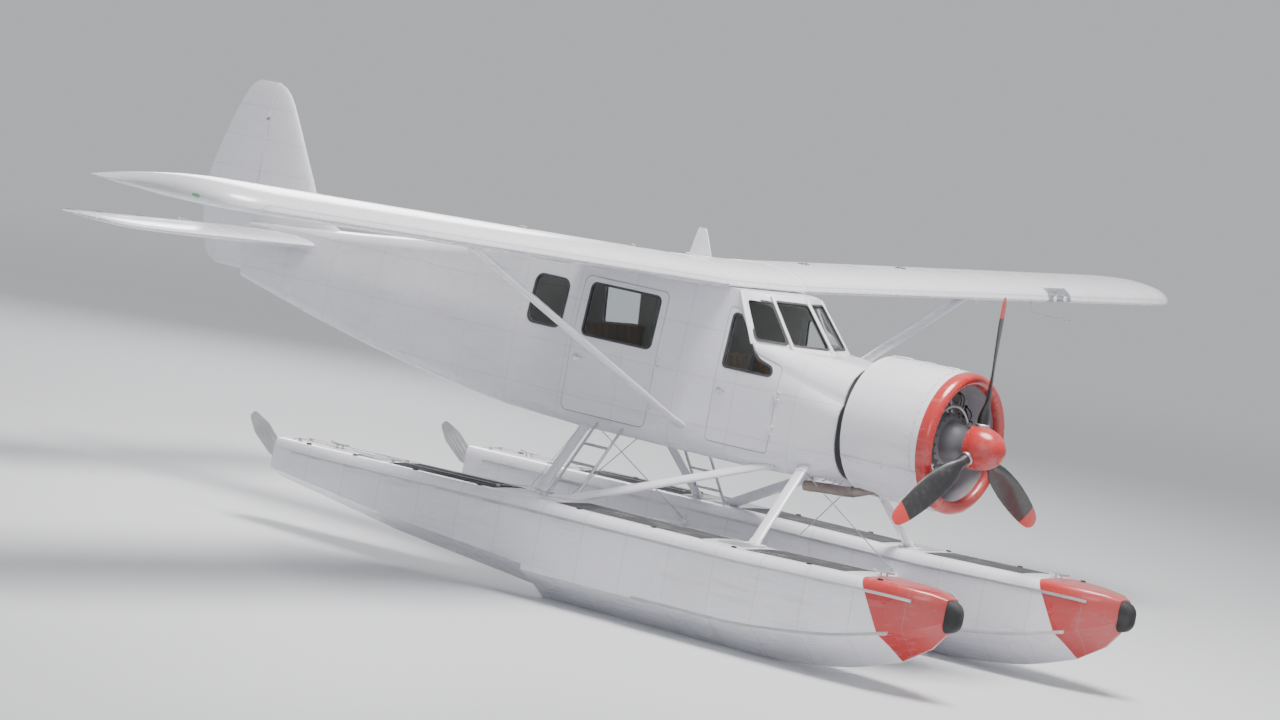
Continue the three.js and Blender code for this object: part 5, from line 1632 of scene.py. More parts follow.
straps = [cowl_ring(-3.70, 0.030, 0.6095, 0.0025), cowl_ring(-3.02, 0.034, 0.5985, 0.0030)]
for turn in (0.0, math.radians(118), math.radians(-118)):
    strip = [block((-0.020, -3.77, -0.004), (0.020, -3.00, 0.0035), 0.0015)]
    strip += [block((-0.028, y - 0.045, 0.002), (0.028, y + 0.045, 0.009), 0.003)
              for y in (-3.62, -3.38, -3.14)]
    straps.append(turned(moved(joined(strip), z=COWL_RADIUS - 0.0025), turn))
finished(joined(straps), "cowl_straps", fitting_white)
fasteners = [disc(round_shaft(turn, COWL_RADIUS - 0.004, -3.70),
                  round_shaft(turn, COWL_RADIUS + 0.002, -3.70), 0.007, 0.001, sides=10)
             for turn in turns(40, 0.5)]
finished(joined(fasteners), "cowl_fasteners", worn_metal)

# %% Cylinders
def fin(root, edge, low, thick, slope):
    """The outline of one cooling fin, as pairs of radius and height."""
    return [(root, low), (edge, low + slope), (edge, low + thick - slope), (root, low + thick)]


fins = [(0.0, 0.20), (0.078, 0.20), (0.078, 0.235)]
for k in range(15):
    fins += fin(0.070, 0.100, 0.240 + k * 0.0085, 0.0050, 0.0008)
for k in range(13):
    fins += fin(0.080, 0.109 - max(0, k - 9) * 0.010, 0.372 + k * 0.0105, 0.0062, 0.0010)
pieces = [spun([*fins, (0.066, 0.512), (0.0, 0.524)], 22)]
for side in (1, -1):
    outline = [(0.016, -0.050, 0.505), (0.074, -0.050, 0.492), (0.074, 0.055, 0.492), (0.016, 0.055, 0.505)]
    pieces.append(plate([(side * x, y, z) for x, y, z in outline], (0, 0, 0.054), 0.018))
    pieces.append(disc((side * 0.045, -0.050, 0.530), (side * 0.045, -0.064, 0.530), 0.022, 0.003, sides=16))
finished(ring_copies(moved(joined(pieces), y=CYLINDER_Y)), "engine_cylinders", cast_metal, smooth=25)

pieces = []
for side in (1, -1):
    low, high = Vector((side * 0.034, -0.165, 0.205)), Vector((side * 0.050, -0.058, 0.522))
    for start, end, radius, bevel in ((0, 1, 0.0125, 0), (0, 0.07, 0.018, 0.002), (0.92, 1, 0.017, 0.002)):
        pieces.append(disc(low.lerp(high, start), low.lerp(high, end), radius, bevel, sides=14))
finished(ring_copies(moved(joined(pieces), y=CYLINDER_Y)), "push_rods", bright_metal, slot="engine_metal")

# %% Crankcase, ignition and baffles
NOSE_PROFILE = [(0.0, -3.949), (0.058, -3.949), (0.058, -3.915), (0.086, -3.905), (0.092, -3.885),
                (0.118, -3.872), (0.150, -3.830), (0.176, -3.775), (0.190, -3.720), (0.214, -3.712),
                (0.232, -3.700), (0.243, -3.672), (0.246, -3.645), (0.262, -3.630), (0.268, -3.560),
                (0.270, -3.350), (0.300, -3.300), (0.300, -3.150), (0.240, -3.100), (0.240, -2.916),
                (0.0, -2.916)]
case = [about_shaft(NOSE_PROFILE, 64)]
case += [disc(round_shaft(turn, 0.226, -3.706), round_shaft(turn, 0.226, -3.720), 0.0085, 0.0015, sides=6)
         for turn in turns(18)]
case.append(disc((0, -3.80, THRUST_Z - 0.05), (0, -3.87, THRUST_Z - 0.175), 0.050, 0.006))
case.append(disc((0.06, -3.78, THRUST_Z + 0.12), (0.075, -3.85, THRUST_Z + 0.165), 0.032, 0.004))
finished(joined(case), "engine_case", case_paint, stands_for="engine", smooth=30)

ring = tube([round_shaft(turn, 0.300, -3.695) for turn in turns(54)], 0.0125, cyclic=True, sides=10)
finished(ring, "ignition_ring", worn_metal, slot="engine_metal", smooth=60)
leads = []
for side in (1, -1):
    line = [(0.075, -3.695, 0.292), (0.098, -3.690, 0.345), (0.104, -3.655, 0.41), (0.088, -3.598, 0.448)]
    leads.append(tube([(side * x, y, z) for x, y, z in line], 0.0052, bent=True, sides=6))
    leads.append(disc((side * 0.088, -3.60, 0.448), (side * 0.074, -3.565, 0.455), 0.0105, sides=8))
finished(ring_copies(joined(leads)), "ignition_leads", black_satin, smooth=60)

# A baffle is a curved sheet that closes the gap between two cylinder heads, with its edge folded.
between = math.pi / CYLINDERS
ribs = []
for radius in (0.30, 0.36, 0.42, 0.48, 0.545, 0.585):
    spread = max(0.03, between - 0.109 / radius * 1.02) if radius < 0.50 else between * 0.62
    front = []
    for k in range(7):
        across = k / 3 - 1
        a = between + spread * across
        front.append((radius * math.sin(a), -3.515 + 0.030 * (1 - across ** 2), radius * math.cos(a)))
    ribs.append([*front, *[(x, y + 0.003, z) for x, y, z in reversed(front)]])
finished(ring_copies(skinned(ribs)), "cylinder_baffles", dark_metal, slot="black_paint")

# %% Exhaust collector
pipes = [tube([round_shaft(math.radians(d), 0.46, -3.24) for d in range(-150, 151, 10)], 0.048, sides=16)]
for turn in turns(CYLINDERS):
    stack = ((0.02, 0.42, -3.44), (0.07, 0.47, -3.36), (0.12, 0.462, -3.26))
    line = [round_shaft(turn + late, radius, y) for late, radius, y in stack]
    pipes.append(tube(line, 0.030, bent=True, sides=12))
finished(joined(pipes), "exhaust_collector", burnt_steel, smooth=60)

# %% [markdown]
# ## Propeller
#
# Each blade is a twisted wing. It starts as a round shank in the hub, is widest at mid-length and
# turns flatter towards the tip, because the tip moves fastest. Its face is flat and its back is
# round. The tip is painted so that the turning disc shows.

# %% Blades, hub and spinner
PROPELLER_Y, BLADES = -4.00, 3
# Each row is distance from the shaft, chord, thickness and pitch in degrees.
BLADE_ROWS = [
    (0.04, 0.100, 0.100, 0), (0.25, 0.100, 0.100, 2), (0.30, 0.108, 0.088, 12), (0.36, 0.140, 0.066, 27),
    (0.43, 0.178, 0.048, 38), (0.55, 0.205, 0.039, 35), (0.68, 0.222, 0.033, 30.5), (0.80, 0.225, 0.029, 27),
    (0.95, 0.215, 0.024, 23.5), (1.08, 0.196, 0.019, 20.5), (1.18, 0.168, 0.015, 19),
    (1.24, 0.138, 0.012, 18), (1.275, 0.100, 0.009, 18), (1.29, 0.066, 0.007, 18), (1.295, 0.040, 0.006, 18),
]


def blade_rib(reach, chord, thick, pitch):
    """A blade's section: an ellipse at the shank, round-backed and flat-faced further out."""
    flat = min(1.0, max(0.0, (reach - 0.28) / 0.15))
    tilt = math.radians(pitch)
    rib = []
    for a in turns(24):
        w, t = chord / 2 * math.cos(a), thick / 2 * math.sin(a)
        t *= 1 - 0.72 * flat if t > 0 else 1 + 0.25 * flat
        rib.append((w * math.cos(tilt) - t * math.sin(tilt),
                    PROPELLER_Y + w * math.sin(tilt) + t * math.cos(tilt), reach))
    return rib


blades = ring_copies(skinned([blade_rib(*row) for row in BLADE_ROWS]), BLADES)
finished(blades, "propeller_blades", blade_paint, "propeller", "propeller", smooth=50)
collar = spun([(0.0505, 0.16), (0.060, 0.16), (0.063, 0.165), (0.063, 0.200), (0.058, 0.206),
               (0.0505, 0.206)], 28, closed=True)
hub = about_shaft([(0, -4.070), (0.088, -4.070), (0.095, -4.060), (0.095, -3.975), (0.180, -3.958),
                   (0.180, -3.951), (0, -3.950)])
hub = joined([hub, ring_copies(moved(collar, y=PROPELLER_Y), BLADES)])
finished(hub, "propeller_hub", worn_metal, "propeller")

SPINNER_TIP, SPINNER_REAR, SPINNER_RADIUS = -4.25, -3.952, 0.19
outside = [(0.0, SPINNER_TIP)]
outside += [(SPINNER_RADIUS * math.sin(a) ** 0.92, SPINNER_TIP + 0.262 * (1 - math.cos(a)))
            for a in quarter(16)[1:]]
inside = [(max(0.0, radius - 0.004), y + 0.005) for radius, y in reversed(outside[1:])]
shell = about_shaft([*outside, (SPINNER_RADIUS, SPINNER_REAR), (SPINNER_RADIUS - 0.004, SPINNER_REAR),
                     *inside, (0.0, SPINNER_TIP + 0.006)], 72)
holes = disc((0, PROPELLER_Y, 0.12), (0, PROPELLER_Y, 0.33), 0.057, sides=32)
shell = cut(shell, ring_copies(holes, BLADES))
rim = about_shaft([(0.188, -3.975), (0.1925, -3.973), (0.1925, -3.953), (0.188, SPINNER_REAR)], 72,
                  closed=True)
finished(joined([shell, rim]), "spinner_shell", red_trim, "propeller", "spinner", smooth=40)
screws = [disc(round_shaft(turn, 0.191, -3.963), round_shaft(turn, 0.194, -3.963), 0.0045, sides=8)
          for turn in turns(18, 0.5)]
finished(joined(screws), "spinner_screws", worn_metal, "propeller")

# %% Firewall
firewall = [skinned([body_rib((y, *CABIN_ROWS[0][1:])) for y in (-2.9123, -2.9003)])]
firewall += [tube([(x, -2.912, z), (x * 0.72, -3.16, THRUST_Z + (z - THRUST_Z) * 0.80)], 0.016, sides=10)
             for x, z in ((0.36, 2.30), (-0.36, 2.30), (0.40, 1.75), (-0.40, 1.75))]
finished(joined(firewall), "firewall_sheet", worn_metal, stands_for="firewall")

# %% [markdown]
# ## Cabin
#
# Through the windows one sees a floor, two front seats, a bench, the instrument panel and two
# control wheels. Floor, panel and bulkhead are slices of the cabin's own form, drawn a wall's
# thickness smaller, so that they fit it all round.

# %% Slices of the cabin
FLOOR_TOP, FIT = 1.50, WALL + 0.0003


def row_at(y):
    """The cabin's section at any station."""
    rows = CABIN_ROWS[:3] + ROOF_ROWS
    for start, end in zip(rows, rows[1:]):
        if start[0] <= y <= end[0]:
            share = (y - start[0]) / (end[0] - start[0])
            return (y, *[s + (e - s) * share for s, e in zip(start[1:], end[1:])])
    return rows[-1]


def slice_of_cabin(stations, low, high):
    """The part of the cabin's inside between two stations and two heights."""
    form = skinned([body_rib(row_at(y), FIT) for y in stations])
    return common(form, block((-0.8, stations[0] - 0.1, low), (0.8, stations[-1] + 0.1, high), 0))


boards = [slice_of_cabin((-2.88, -2.44, -1.98, -0.20, 0.64), 1.40, FLOOR_TOP),
          block((-0.50, -1.46, FLOOR_TOP - 0.004), (0.50, -0.45, FLOOR_TOP + 0.008), 0.003)]
boards += [upright_disc(x, y, FLOOR_TOP + 0.007, FLOOR_TOP + 0.010, 0.012, 0.001, sides=14)
           for x in (-0.42, 0, 0.42) for y in (-1.38, -0.95, -0.53)]
finished(joined(boards), "floor_boards", cabin_grey, stands_for="cabin_floor", slot="white_paint")
bulkhead = [slice_of_cabin((0.66, 0.68), 1.42, 2.905)]
bulkhead += [block((-0.42, 0.645, z - 0.012), (0.42, 0.662, z + 0.012), 0.003) for z in (1.75, 2.15, 2.55)]
finished(joined(bulkhead), "bulkhead_sheet", cabin_lining, stands_for="rear_bulkhead")

# %% Instrument panel
PANEL_FRONT, PANEL_REAR = -2.40, -2.345
RADIO_HEIGHTS = (2.285, 2.245, 2.205, 2.165)
LEVER_Z = 2.125
bezels, faces, marks = [], [], []


def make_dial(x, z, radius, reading):
    """A round dial: bezel, black face, ticks and a pointer."""
    profile = [(radius, 0.0), (radius, 0.007), (radius - 0.003, 0.010), (radius - 0.007, 0.008),
               (radius - 0.007, 0.0)]
    lay = Matrix.Translation((x, PANEL_REAR, z)) @ Matrix.Rotation(-math.pi / 2, 4, "X")
    bezels.append(placed(spun(profile, 28, closed=True), lay))
    faces.append(disc((x, PANEL_REAR - 0.001, z), (x, PANEL_REAR + 0.002, z), radius - 0.005, sides=24))
    bars = [(0.0007, 0.0004, radius - 0.016, radius - 0.009, 0.0024, turn) for turn in turns(12)]
    bars.append((0.0013, 0.0005, -0.006, radius - 0.014, 0.0032, reading))
    for half, thin, start, end, lift, turn in bars:
        place = Matrix.Translation((x, PANEL_REAR + lift, z)) @ Matrix.Rotation(turn, 4, "Y")
        marks.append(placed(block((-half, -thin, start), (half, thin, end), 0), place))


random.seed(7)
for side in (-1, 1):
    for column in (-1, 0, 1):
        for z in (2.335, 2.245):
            make_dial(side * 0.30 + column * 0.088, z, 0.038, random.uniform(-2, 2))
for column in range(4):
    make_dial(-0.105 + column * 0.070, 2.352, 0.028, random.uniform(-2, 2))
for z in RADIO_HEIGHTS:
    bezels.append(block((-0.085, PANEL_REAR - 0.01, z - 0.017),
                        (0.085, PANEL_REAR + 0.010, z + 0.017), 0.002))
    bezels += [disc((x, PANEL_REAR + 0.008, z), (x, PANEL_REAR + 0.024, z), 0.0085, 0.001, sides=14)
               for x in (-0.068, 0.068)]
for k in range(-20, 21, 2):
    x = k * 0.022
    marks.append(disc((x, PANEL_REAR, 2.095), (x, PANEL_REAR + 0.016, 2.100), 0.0035, sides=8))
panel = [slice_of_cabin((PANEL_FRONT, PANEL_REAR), 2.06, 2.40)]
panel.append(block((-0.50, -2.41, 2.388), (0.50, -2.30, 2.412), 0.010, 3))
for k, x in enumerate((-0.035, 0.0, 0.035)):
    z = LEVER_Z + 0.01 * k
    panel.append(disc((x, PANEL_REAR, LEVER_Z), (x, PANEL_REAR + 0.075, z), 0.004, sides=8))
    panel.append(disc((x, PANEL_REAR + 0.07, z), (x, PANEL_REAR + 0.095, z + 0.002), 0.013, 0.003, sides=16))

# %% Control wheels
WHEEL_RADIUS, WHEEL_Y, WHEEL_Z = 0.120, -2.15, 2.18
for x in (-0.30, 0.30):
    rim = [(x + WHEEL_RADIUS * math.sin(a), WHEEL_Y, WHEEL_Z + WHEEL_RADIUS * math.cos(a))
           for a in turns(40)]
    panel.append(tube(rim, 0.012, cyclic=True, sides=10))
    panel.append(block((x - WHEEL_RADIUS, WHEEL_Y - 0.006, WHEEL_Z - 0.013),
                       (x + WHEEL_RADIUS, WHEEL_Y + 0.006, WHEEL_Z + 0.013), 0.004))
    for start, end, radius, bevel, sides in ((PANEL_REAR - 0.01, WHEEL_Y + 0.014, 0.015, 0.003, 18),
                                             (WHEEL_Y - 0.020, WHEEL_Y + 0.018, 0.034, 0.006, 24)):
        panel.append(disc((x, start, WHEEL_Z), (x, end, WHEEL_Z), radius, bevel, sides))
finished(joined(panel), "panel_and_wheels", black_satin, stands_for="instrument_panel")
finished(joined(bezels), "panel_bezels", cabin_grey)
finished(joined(faces), "dial_faces", dial_black)
finished(joined(marks), "dial_marks", dial_white)

# %% [markdown]
# ## Seats
#
# Each cushion is sewn in long channels. A row of rounded boxes gives the channels, a voxel remesh
# turns them into one closed skin, and a short cloth simulation with air pressure inside swells
# that skin between its seams. How far a point may move is capped, so that the cushion keeps to
# its place.

# %% Padding
PRESSURE, FRAMES, TRAVEL = 4.0, 20, 0.012


def channel_row(low, high, count):
    """Rounded boxes side by side across X, which the remesh makes into one cushion."""
    width = (high[0] - low[0]) / count
    starts = [low[0] + k * width for k in range(count)]
    return [block((x - 0.002, *low[1:]), (x + width + 0.002, *high[1:]), 0.016, 3) for x in starts]


def puffed(obj, voxel):
    """Remeshes a form, swells it with air pressure, and holds each point within a cap."""
    modified(obj, "REMESH", mode="VOXEL", voxel_size=voxel)
    start = [v.co.copy() for v in obj.data.vertices]
    only(obj)
    cloth = obj.modifiers.new("Cloth", "CLOTH")
    cloth.settings.use_pressure = True
    cloth.settings.uniform_pressure_force = PRESSURE
    cloth.settings.effector_weights.gravity = 0.0
    cloth.point_cache.frame_start, cloth.point_cache.frame_end = 1, FRAMES
    for step in range(1, FRAMES + 1):
        bpy.context.scene.frame_set(step)
    bpy.ops.object.modifier_apply(modifier=cloth.name)
    bpy.context.scene.frame_set(1)
    for vertex, before in zip(obj.data.vertices, start):
        move = vertex.co - before
        if move.length > TRAVEL:
            vertex.co = before + move.normalized() * TRAVEL
    return modified(obj, "SUBSURF", levels=1, render_levels=1)


# %% Seats and belts
# Each seat is x, half width, front, rear, number of channels and voxel size.
SEAT_PAN, CUSHION, BACK_TOP = 1.74, 0.09, 2.33
BELT_SECTION = ((-0.022, 0), (0.022, 0), (0.022, 0.003), (-0.022, 0.003))
SEATS = {
    "front_seat": (0.30, 0.215, -1.98, -1.52, 4, 0.011),
    "rear_bench": (0.0, 0.52, -0.42, 0.06, 9, 0.014),
}


def seat_cushion(x, half, front, rear, count, voxel):
    """Pan and back cushion of one seat."""
    shy = 0.014
    left, right = x - half + shy, x + half - shy
    pan = channel_row((left, front + shy, SEAT_PAN + 0.006),
                      (right, rear - 0.012, SEAT_PAN + CUSHION - shy), count)
    back = channel_row((left, rear - CUSHION + shy, SEAT_PAN + 0.05),
                       (right, rear - 0.006, BACK_TOP + 0.02 - shy), count)
    return puffed(joined([*pan, *back]), voxel)


def seat_frame(x, half, front, rear):
    """A tube frame on a pedestal, with a sheet pan and back."""
    low, wide, under, behind = FLOOR_TOP + 0.0005, half - 0.06, SEAT_PAN - 0.02, rear + 0.004
    back = [(x - half, behind, under), (x + half, behind, under), (x + half, behind, BACK_TOP),
            (x - half, behind, BACK_TOP)]
    pieces = [block((x - half, front, under), (x + half, rear + 0.03, SEAT_PAN - 0.001), 0.006),
              plate(back, (0, 0.024, 0), 0.05)]
    for at in (x - wide, x + wide):
        legs = [(at, front + 0.08, under), (at, front + 0.10, low + 0.018), (at, rear - 0.06, low + 0.018),
                (at, rear - 0.04, under)]
        pieces.append(tube(legs, 0.013, sides=12))
        pieces.append(block((at - 0.016, front + 0.08, low), (at + 0.016, rear - 0.04, low + 0.014), 0.003))
    pieces.append(tube([(x - wide, front + 0.11, 1.60), (x + wide, front + 0.11, 1.60)], 0.011, sides=10))
    return joined(pieces)


def lap_belt(x, half, front, rear):
    """Webbing laid across a seat, with its buckle."""
    top = SEAT_PAN + CUSHION + 0.004
    line = [(half - 0.01, rear - 0.10, top - 0.05), (half - 0.035, rear - 0.12, top),
            (0.03, rear - 0.20, top + 0.006)]
    webbing = [skinned([[(x + side * out, y + dy, z + dz) for dy, dz in BELT_SECTION] for out, y, z in line])
               for side in (-1, 1)]
    buckle = block((x - 0.04, rear - 0.235, top + 0.004), (x + 0.04, rear - 0.170, top + 0.018))
    return joined(webbing), buckle


for name, (*room, count, voxel) in SEATS.items():
    finish = finished_pair if room[0] else finished
    cushion = seat_cushion(*room, count, voxel)
    pads = finish(cushion, name + "_pads", seat_weave, stands_for=name + "_cushion", smooth=180)
    finish(seat_frame(*room), name + "_tubes", cabin_grey, stands_for=name + "_frame")
    webbing, buckle = lap_belt(*room)
    finish(webbing, name + "_webbing", black_satin)
    finish(buckle, name + "_buckle", bright_metal)

# %% [markdown]
# ## Fittings
#
# Last come the small things that a pilot uses or checks: handles and hinges, filler caps, lamps,
# the air data tube, static wicks, cables to the water rudders, and the pipes under the nose.

# %% Door handles, pulls and pockets
HANDLE_Z, OUTSIDE_X, INSIDE_X = 2.02, 0.63, 0.595
# Each door is start, end, and the y of its inner and its outer handle.
DOOR_FITTINGS = {"front_door": (-2.22, -1.64, -1.72, -1.70), "cabin_door": (-0.99, -0.05, -0.15, -0.125)}


def outer_handle(y):
    """A lever on a round plate."""
    x, z = OUTSIDE_X, HANDLE_Z
    return [disc((x - 0.004, y, z), (x + 0.004, y, z), 0.030, 0.0015, sides=28),
            disc((x, y, z), (x + 0.022, y, z), 0.009, sides=14),
            block((x + 0.014, y - 0.085, z - 0.010), (x + 0.024, y + 0.012, z + 0.010), 0.004, 3)]


def inner_handles(start, end, y):
    """A pull along the door, and a lever on its plate."""
    x, z, axis = INSIDE_X, HANDLE_Z, HANDLE_Z + 0.02
    pull = [(x, start + 0.10, z), (x - 0.035, start + 0.13, z), (x - 0.035, end - 0.30, z),
            (x, end - 0.27, z)]
    return [tube(pull, 0.010, bent=True, sides=10),
            disc((x + 0.004, y, axis), (x - 0.006, y, axis), 0.028, 0.0015, sides=24),
            block((x - 0.026, y - 0.075, axis - 0.008), (x - 0.017, y + 0.012, axis + 0.008), 0.004, 3),
            disc((x, y, axis), (x - 0.022, y, axis), 0.008, sides=12)]


for name, (start, end, inner, outer) in DOOR_FITTINGS.items():
    pocket = block((INSIDE_X - 0.026, start + 0.09, HANDLE_Z - 0.31),
                   (INSIDE_X + 0.002, end - 0.12, HANDLE_Z - 0.12), 0.012, 3)
    finished_pair(joined(inner_handles(start, end, inner)), name + "_furniture", black_satin, name)
    finished_pair(pocket, name + "_pocket", cabin_lining, name, slot="cabin_grey")
    finished_pair(joined(outer_handle(outer)), name + "_handle", bright_metal, name)

# %% Door hinges
HINGES = {"front_door": (0.624, -2.293, (1.78, 2.08)), "cabin_door": (0.644, -0.993, (1.75, 2.13))}
BARREL, BARREL_HALF, LUG, LUG_GAP = 0.009, 0.025, 0.0147, 0.0003
for name, (x, y, heights) in HINGES.items():
    fixed, moving = [], []
    for z in heights:
        low, high = z - BARREL_HALF, z + BARREL_HALF
        moving.append(upright_disc(x, y, low, high, BARREL, 0.001, sides=16))
        moving.append(block((x - 0.020, y + 0.005, low), (x + 0.004, y + 0.036, high), 0.002))
        for foot in (low - LUG_GAP - LUG, high + LUG_GAP):
            fixed.append(upright_disc(x, y, foot, foot + LUG, BARREL, 0.001, sides=16))
            fixed.append(block((x - 0.020, y - 0.034, foot), (x + 0.004, y - 0.002, foot + LUG), 0.002))
    finished_pair(joined(moving), name + "_hinge_barrels", fitting_white, name)
    finished_pair(joined(fixed), name + "_hinge_lugs", fitting_white)

# %% Exhaust pipe and drains
EXHAUST_RADIUS = 0.045
EXHAUST_LINE = [(-0.150, -3.225, 1.760), (-0.190, -3.222, 1.60), (-0.201, -3.205, 1.485),
                (-0.205, -3.09, 1.425), (-0.210, -2.96, 1.385), (-0.2125, -2.72, 1.365),
                (-0.215, -2.48, 1.345)]
bore = disc((-0.2130, -2.66, 1.3600), (-0.2155, -2.46, 1.3433), EXHAUST_RADIUS - 0.003, sides=32)
exhaust = [cut(tube(EXHAUST_LINE, EXHAUST_RADIUS, bent=True, sides=24), bore),
           block((-0.222, -2.548, 1.385), (-0.206, -2.532, 1.440), 0.002)]
for start, end, lift in (((-0.2095, -2.985, 1.392), (-0.2100, -2.960, 1.385), 0.004),
                         ((-0.2143, -2.550, 1.3508), (-0.2145, -2.530, 1.3492), 0.003)):
    exhaust.append(disc(start, end, EXHAUST_RADIUS + lift, 0.001, sides=32))
finished(joined(exhaust), "exhaust_pipe", burnt_steel, smooth=40)
drains = [tube([(x, y, 1.47), (x, y + 0.02, 1.405), (x, y + 0.05, 1.385)], 0.007, bent=True, sides=8)
          for x, y in ((0.04, -2.70), (-0.02, -2.66), (0.09, -2.5))]
finished(joined(drains), "drain_pipes", worn_metal)

# %% Oil cooler scoop
# Each row is y, half width, bottom and top.
SCOOP_X, SCOOP_POWER, CORE_HALF = 0.235, 0.45, 0.052
SCOOP_ROWS = [(-2.872, 0.066, 1.396, 1.530), (-2.860, 0.075, 1.386, 1.530), (-2.78, 0.080, 1.377, 1.525),
              (-2.70, 0.082, 1.373, 1.520), (-2.58, 0.080, 1.377, 1.512), (-2.45, 0.072, 1.386, 1.500),
              (-2.34, 0.056, 1.400, 1.485), (-2.25, 0.036, 1.418, 1.470)]
MOUTH_ROWS = [(-2.90, 0.058, 1.404, 1.468), (-2.86, 0.060, 1.400, 1.468), (-2.78, 0.050, 1.412, 1.468)]
scoop, mouth = (skinned([soft_box(*row, SCOOP_POWER) for row in rows]) for rows in (SCOOP_ROWS, MOUTH_ROWS))
finished(moved(cut(scoop, mouth), x=SCOOP_X), "cooler_scoop", fuselage_paint, smooth=40)
core = [block((-CORE_HALF, -2.800, 1.408), (CORE_HALF, -2.790, 1.462), 0)]
for k in range(9):
    z = 1.412 + 0.006 * k
    core.append(block((-CORE_HALF, -2.806, z - 0.0012), (CORE_HALF, -2.799, z + 0.0012), 0))
finished(moved(joined(core), x=SCOOP_X), "cooler_core", dark_metal)

# %% Wing fittings
def on_wing(x, y, lift=0.0, side=UPPER):
    """A place on the left wing panel's upper skin, in the plane's own axes."""
    share = (y - WING_FRONT) / WING_CHORD
    return wing_frame @ Vector((x, y, side * half_thickness(share, PROFILE) * WING_CHORD + lift))


def under_wing(x, y, lift=0.0):
    """A place on its lower skin, a lift going down."""
    return on_wing(x, y, -lift, -LOWER)


def skin_disc(place, x, y, low, high, radius, bevel, sides):
    """A round plate or cap that stands on the wing's skin."""
    return disc(place(x, y, low), place(x, y, high), radius, bevel, sides)


CAP_X, CAP_Y = (0.75, 2.35), -1.05
caps = [skin_disc(on_wing, x, CAP_Y, *size) for x in CAP_X
        for size in ((-0.004, 0.014, 0.036, 0.004, 28), (0.012, 0.020, 0.010, 0.002, 12))]
cap_seats = [skin_disc(on_wing, x, CAP_Y, -0.006, 0.003, 0.056, 0.001, 32) for x in CAP_X]
finished_pair(joined(caps), "fuel_caps", bright_metal)
finished_pair(joined(cap_seats), "fuel_cap_seats", seal_rubber)
covers = [skin_disc(under_wing, x, -1.0, -0.004, 0.0022, 0.060, 0.0008, 28)
          for x in (0.5, 1.4, 2.3, 3.2, 4.1, 5.0, 5.9)]
tie_down = under_wing(3.34, -1.32)
ring = [tie_down + Vector((0, 0.022 * math.sin(a), -0.020 + 0.022 * math.cos(a))) for a in turns(16)]
covers.append(tube(ring, 0.0045, cyclic=True, sides=8))
finished_pair(joined(covers), "wing_access_covers", fitting_white)

# Each row is a share of the fairing's length, its half width and its depth there.
FAIRING_TOP = 0.006
FAIRING_ROWS = [(0, 0.004, 0.001), (0.15, 0.013, 0.014), (0.5, 0.017, 0.026), (0.8, 0.016, 0.028),
                (1, 0.012, 0.022)]


def fairing_ring(middle, half, drop):
    """A ring that hangs deep below its middle and stands a little above it."""
    return [middle + Vector((half * math.cos(a), 0, -math.sin(a) * (drop if a < math.pi else FAIRING_TOP)))
            for a in turns(14)]


fairings = []
for x in (0.60, 1.78, 2.95, 3.75, 4.80, 5.90):
    start, end = under_wing(x, -0.84), under_wing(x, -0.535)
    fairings.append(skinned([fairing_ring(start.lerp(end, share), half, drop)
                             for share, half, drop in FAIRING_ROWS]))
finished_pair(joined(fairings), "hinge_fairings", fitting_white, smooth=60)

# %% Static wicks and air data tube
def wick(start, rise):
    """A static wick on a trailing edge: its foot and a thin rod."""
    return [disc(start, start + Vector((0, 0.030, 0)), 0.005, sides=10),
            tube([start, start + Vector((0, 0.105, rise))], 0.0022, sides=6)]


wicks = [piece for x in (4.6, 5.3, 6.0)
         for piece in wick(wing_frame @ Vector((x, WING_FRONT + WING_CHORD - 0.012, 0)), 0.003)]
finished_pair(joined(wicks), "aileron_wicks", black_satin, "aileron")
wicks = [piece for x, y in ((1.2, 4.635), (1.75, 4.635), (2.2, 4.59))
         for piece in wick(Vector((x, y, ELEVATOR_Z)), 0.002)]
finished(both(joined(wicks)), "elevator_wicks", black_satin, "elevator")

PITOT = (4.45, -1.22)
PITOT_LINE = [(0, 0.004), (-0.020, -0.095), (-0.040, -0.118), (-0.070, -0.125), (-0.470, -0.125)]
pitot = tube([under_wing(*PITOT) + Vector((0, y, z)) for y, z in PITOT_LINE], 0.009, sides=14)
foot = skin_disc(under_wing, *PITOT, -0.004, 0.005, 0.026, 0.001, 20)
finished(joined([pitot, foot]), "air_data_tube", worn_metal)

# %% Lamps and aerial
def lens(centre, size):
    """A smooth drop-shaped lens."""
    bpy.ops.mesh.primitive_uv_sphere_add(segments=28, ring_count=16, radius=1)
    obj = bpy.context.object
    with editing(obj):
        bpy.ops.transform.resize(value=size)
        bpy.ops.transform.translate(value=centre)
    return obj


port = lens(wing_frame @ Vector((6.735, -1.28, 0.016)), (0.020, 0.045, 0.017))
finished(mirror_copy(port), "starboard_lamp", lens_green, smooth=80)
finished(port, "port_lamp", lens_red, smooth=80)
finished(upright_disc(0, 0.36, 2.86, 2.905, 0.048, 0.004, sides=32), "beacon_base", fitting_white)
finished(lens((0, 0.36, 2.905), (0.037, 0.037, 0.062)), "beacon_lens", lens_red, smooth=80)
finished(lens((0, 4.958, 2.36), (0.011, 0.022, 0.030)), "tail_lamp", lens_white, "rudder", smooth=80)


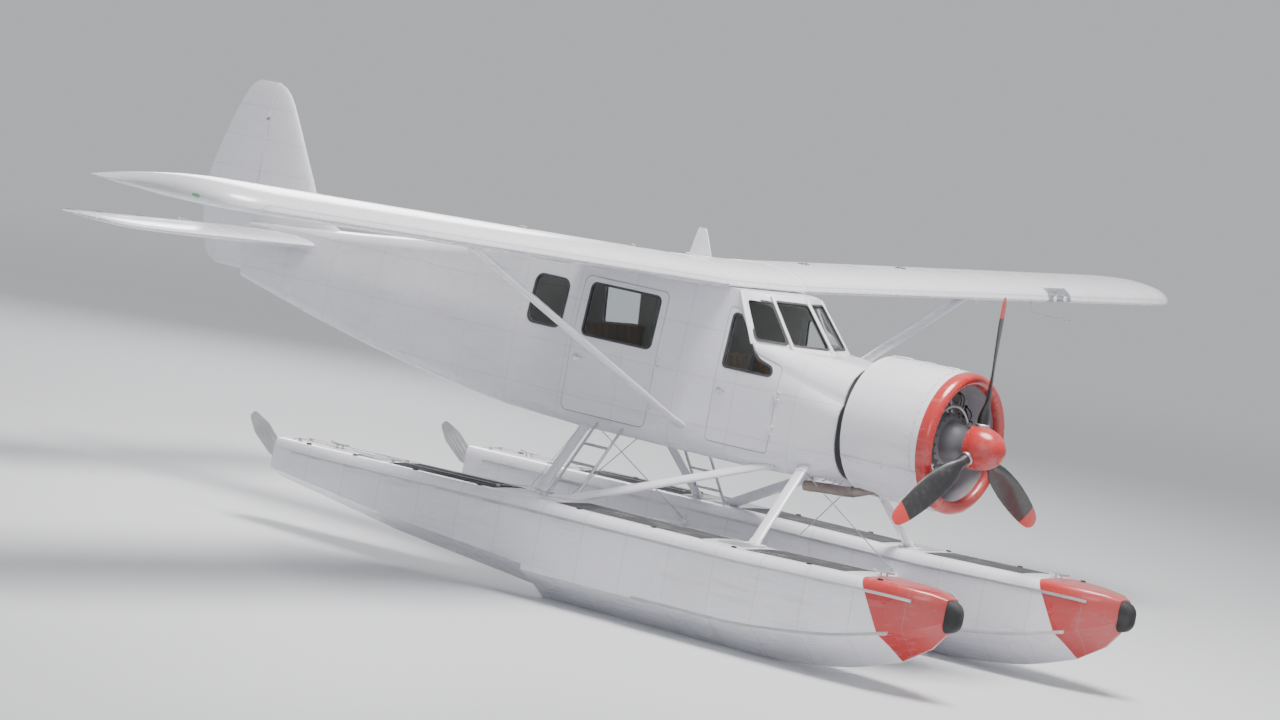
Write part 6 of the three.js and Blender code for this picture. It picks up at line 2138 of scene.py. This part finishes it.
def lamp_window(start, end):
    """The landing lamp's clear window in the leading edge."""
    ribs = []
    for k in range(7):
        x = start + (end - start) * k / 6
        middle = Vector((x, WING_FRONT + 0.14, 0.02))
        near = [Vector(p) for p in wing_rib(x, WING_FRONT, WING_CHORD, PROFILE) if p[1] < WING_FRONT + 0.13]
        near.sort(key=lambda p: math.atan2(p.z - middle.z, middle.y - p.y))
        outer = [p + (p - middle).normalized() * 0.0025 for p in near]
        ribs.append(outer + [p - (p - middle).normalized() * 0.004 for p in reversed(near)])
    return placed(skinned(ribs), wing_frame)


finished(lamp_window(4.15, 4.55), "landing_lamp_window", lamp_glass, smooth=60)
lamps = []
for x in (4.26, 4.44):
    ends = [wing_frame @ Vector((x, WING_FRONT - ahead, 0.012)) for ahead in (0.0005, 0.006)]
    lamps.append(disc(*ends, 0.030, 0.002, sides=28))
finished(joined(lamps), "landing_lamps", lens_white)
AERIAL = [(-0.96, 3.05), (-0.70, 3.05), (-0.76, 3.33), (-0.84, 3.33)]
aerial = [plate([(-0.006, y, z) for y, z in AERIAL], (0.012, 0, 0), 0.02),
          block((-0.030, -0.99, 3.070), (0.030, -0.68, 3.090), 0.004)]
finished(joined(aerial), "blade_aerial", fitting_white)

# %% Water rudder cables
CABLE = 0.0028
pieces = [tube([(1.265, -0.365, 0.885), (0.60, -0.300, 1.440)], CABLE, sides=6)]
for out in (-0.07, 0.07):
    line = [(FLOAT_X + out, POST_Y, STERN_LUGS[1] + 0.026), (FLOAT_X + out * 1.1, 2.10, 0.820),
            (FLOAT_X + out * 1.4, 1.0, 0.842), (FLOAT_X + out * 1.6, -0.20, 0.864),
            (FLOAT_X - 0.13 + out * 0.4, -0.36, 0.885)]
    pieces.append(tube(line, CABLE, sides=6))
    pieces += [block((x - 0.010, y - 0.016, z - 0.024), (x + 0.010, y + 0.016, z + 0.006), 0.003)
               for x, y, z in line[1:4]]
finished_pair(joined(pieces), "water_rudder_cables", worn_metal)

# %% Size of the finished plane
low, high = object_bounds()
sizes = {"cad": [list(corner) for corner in cad_box], "visual": [list(low), list(high)]}
print("size:", [round(h - l, 3) for l, h in zip(low, high)])
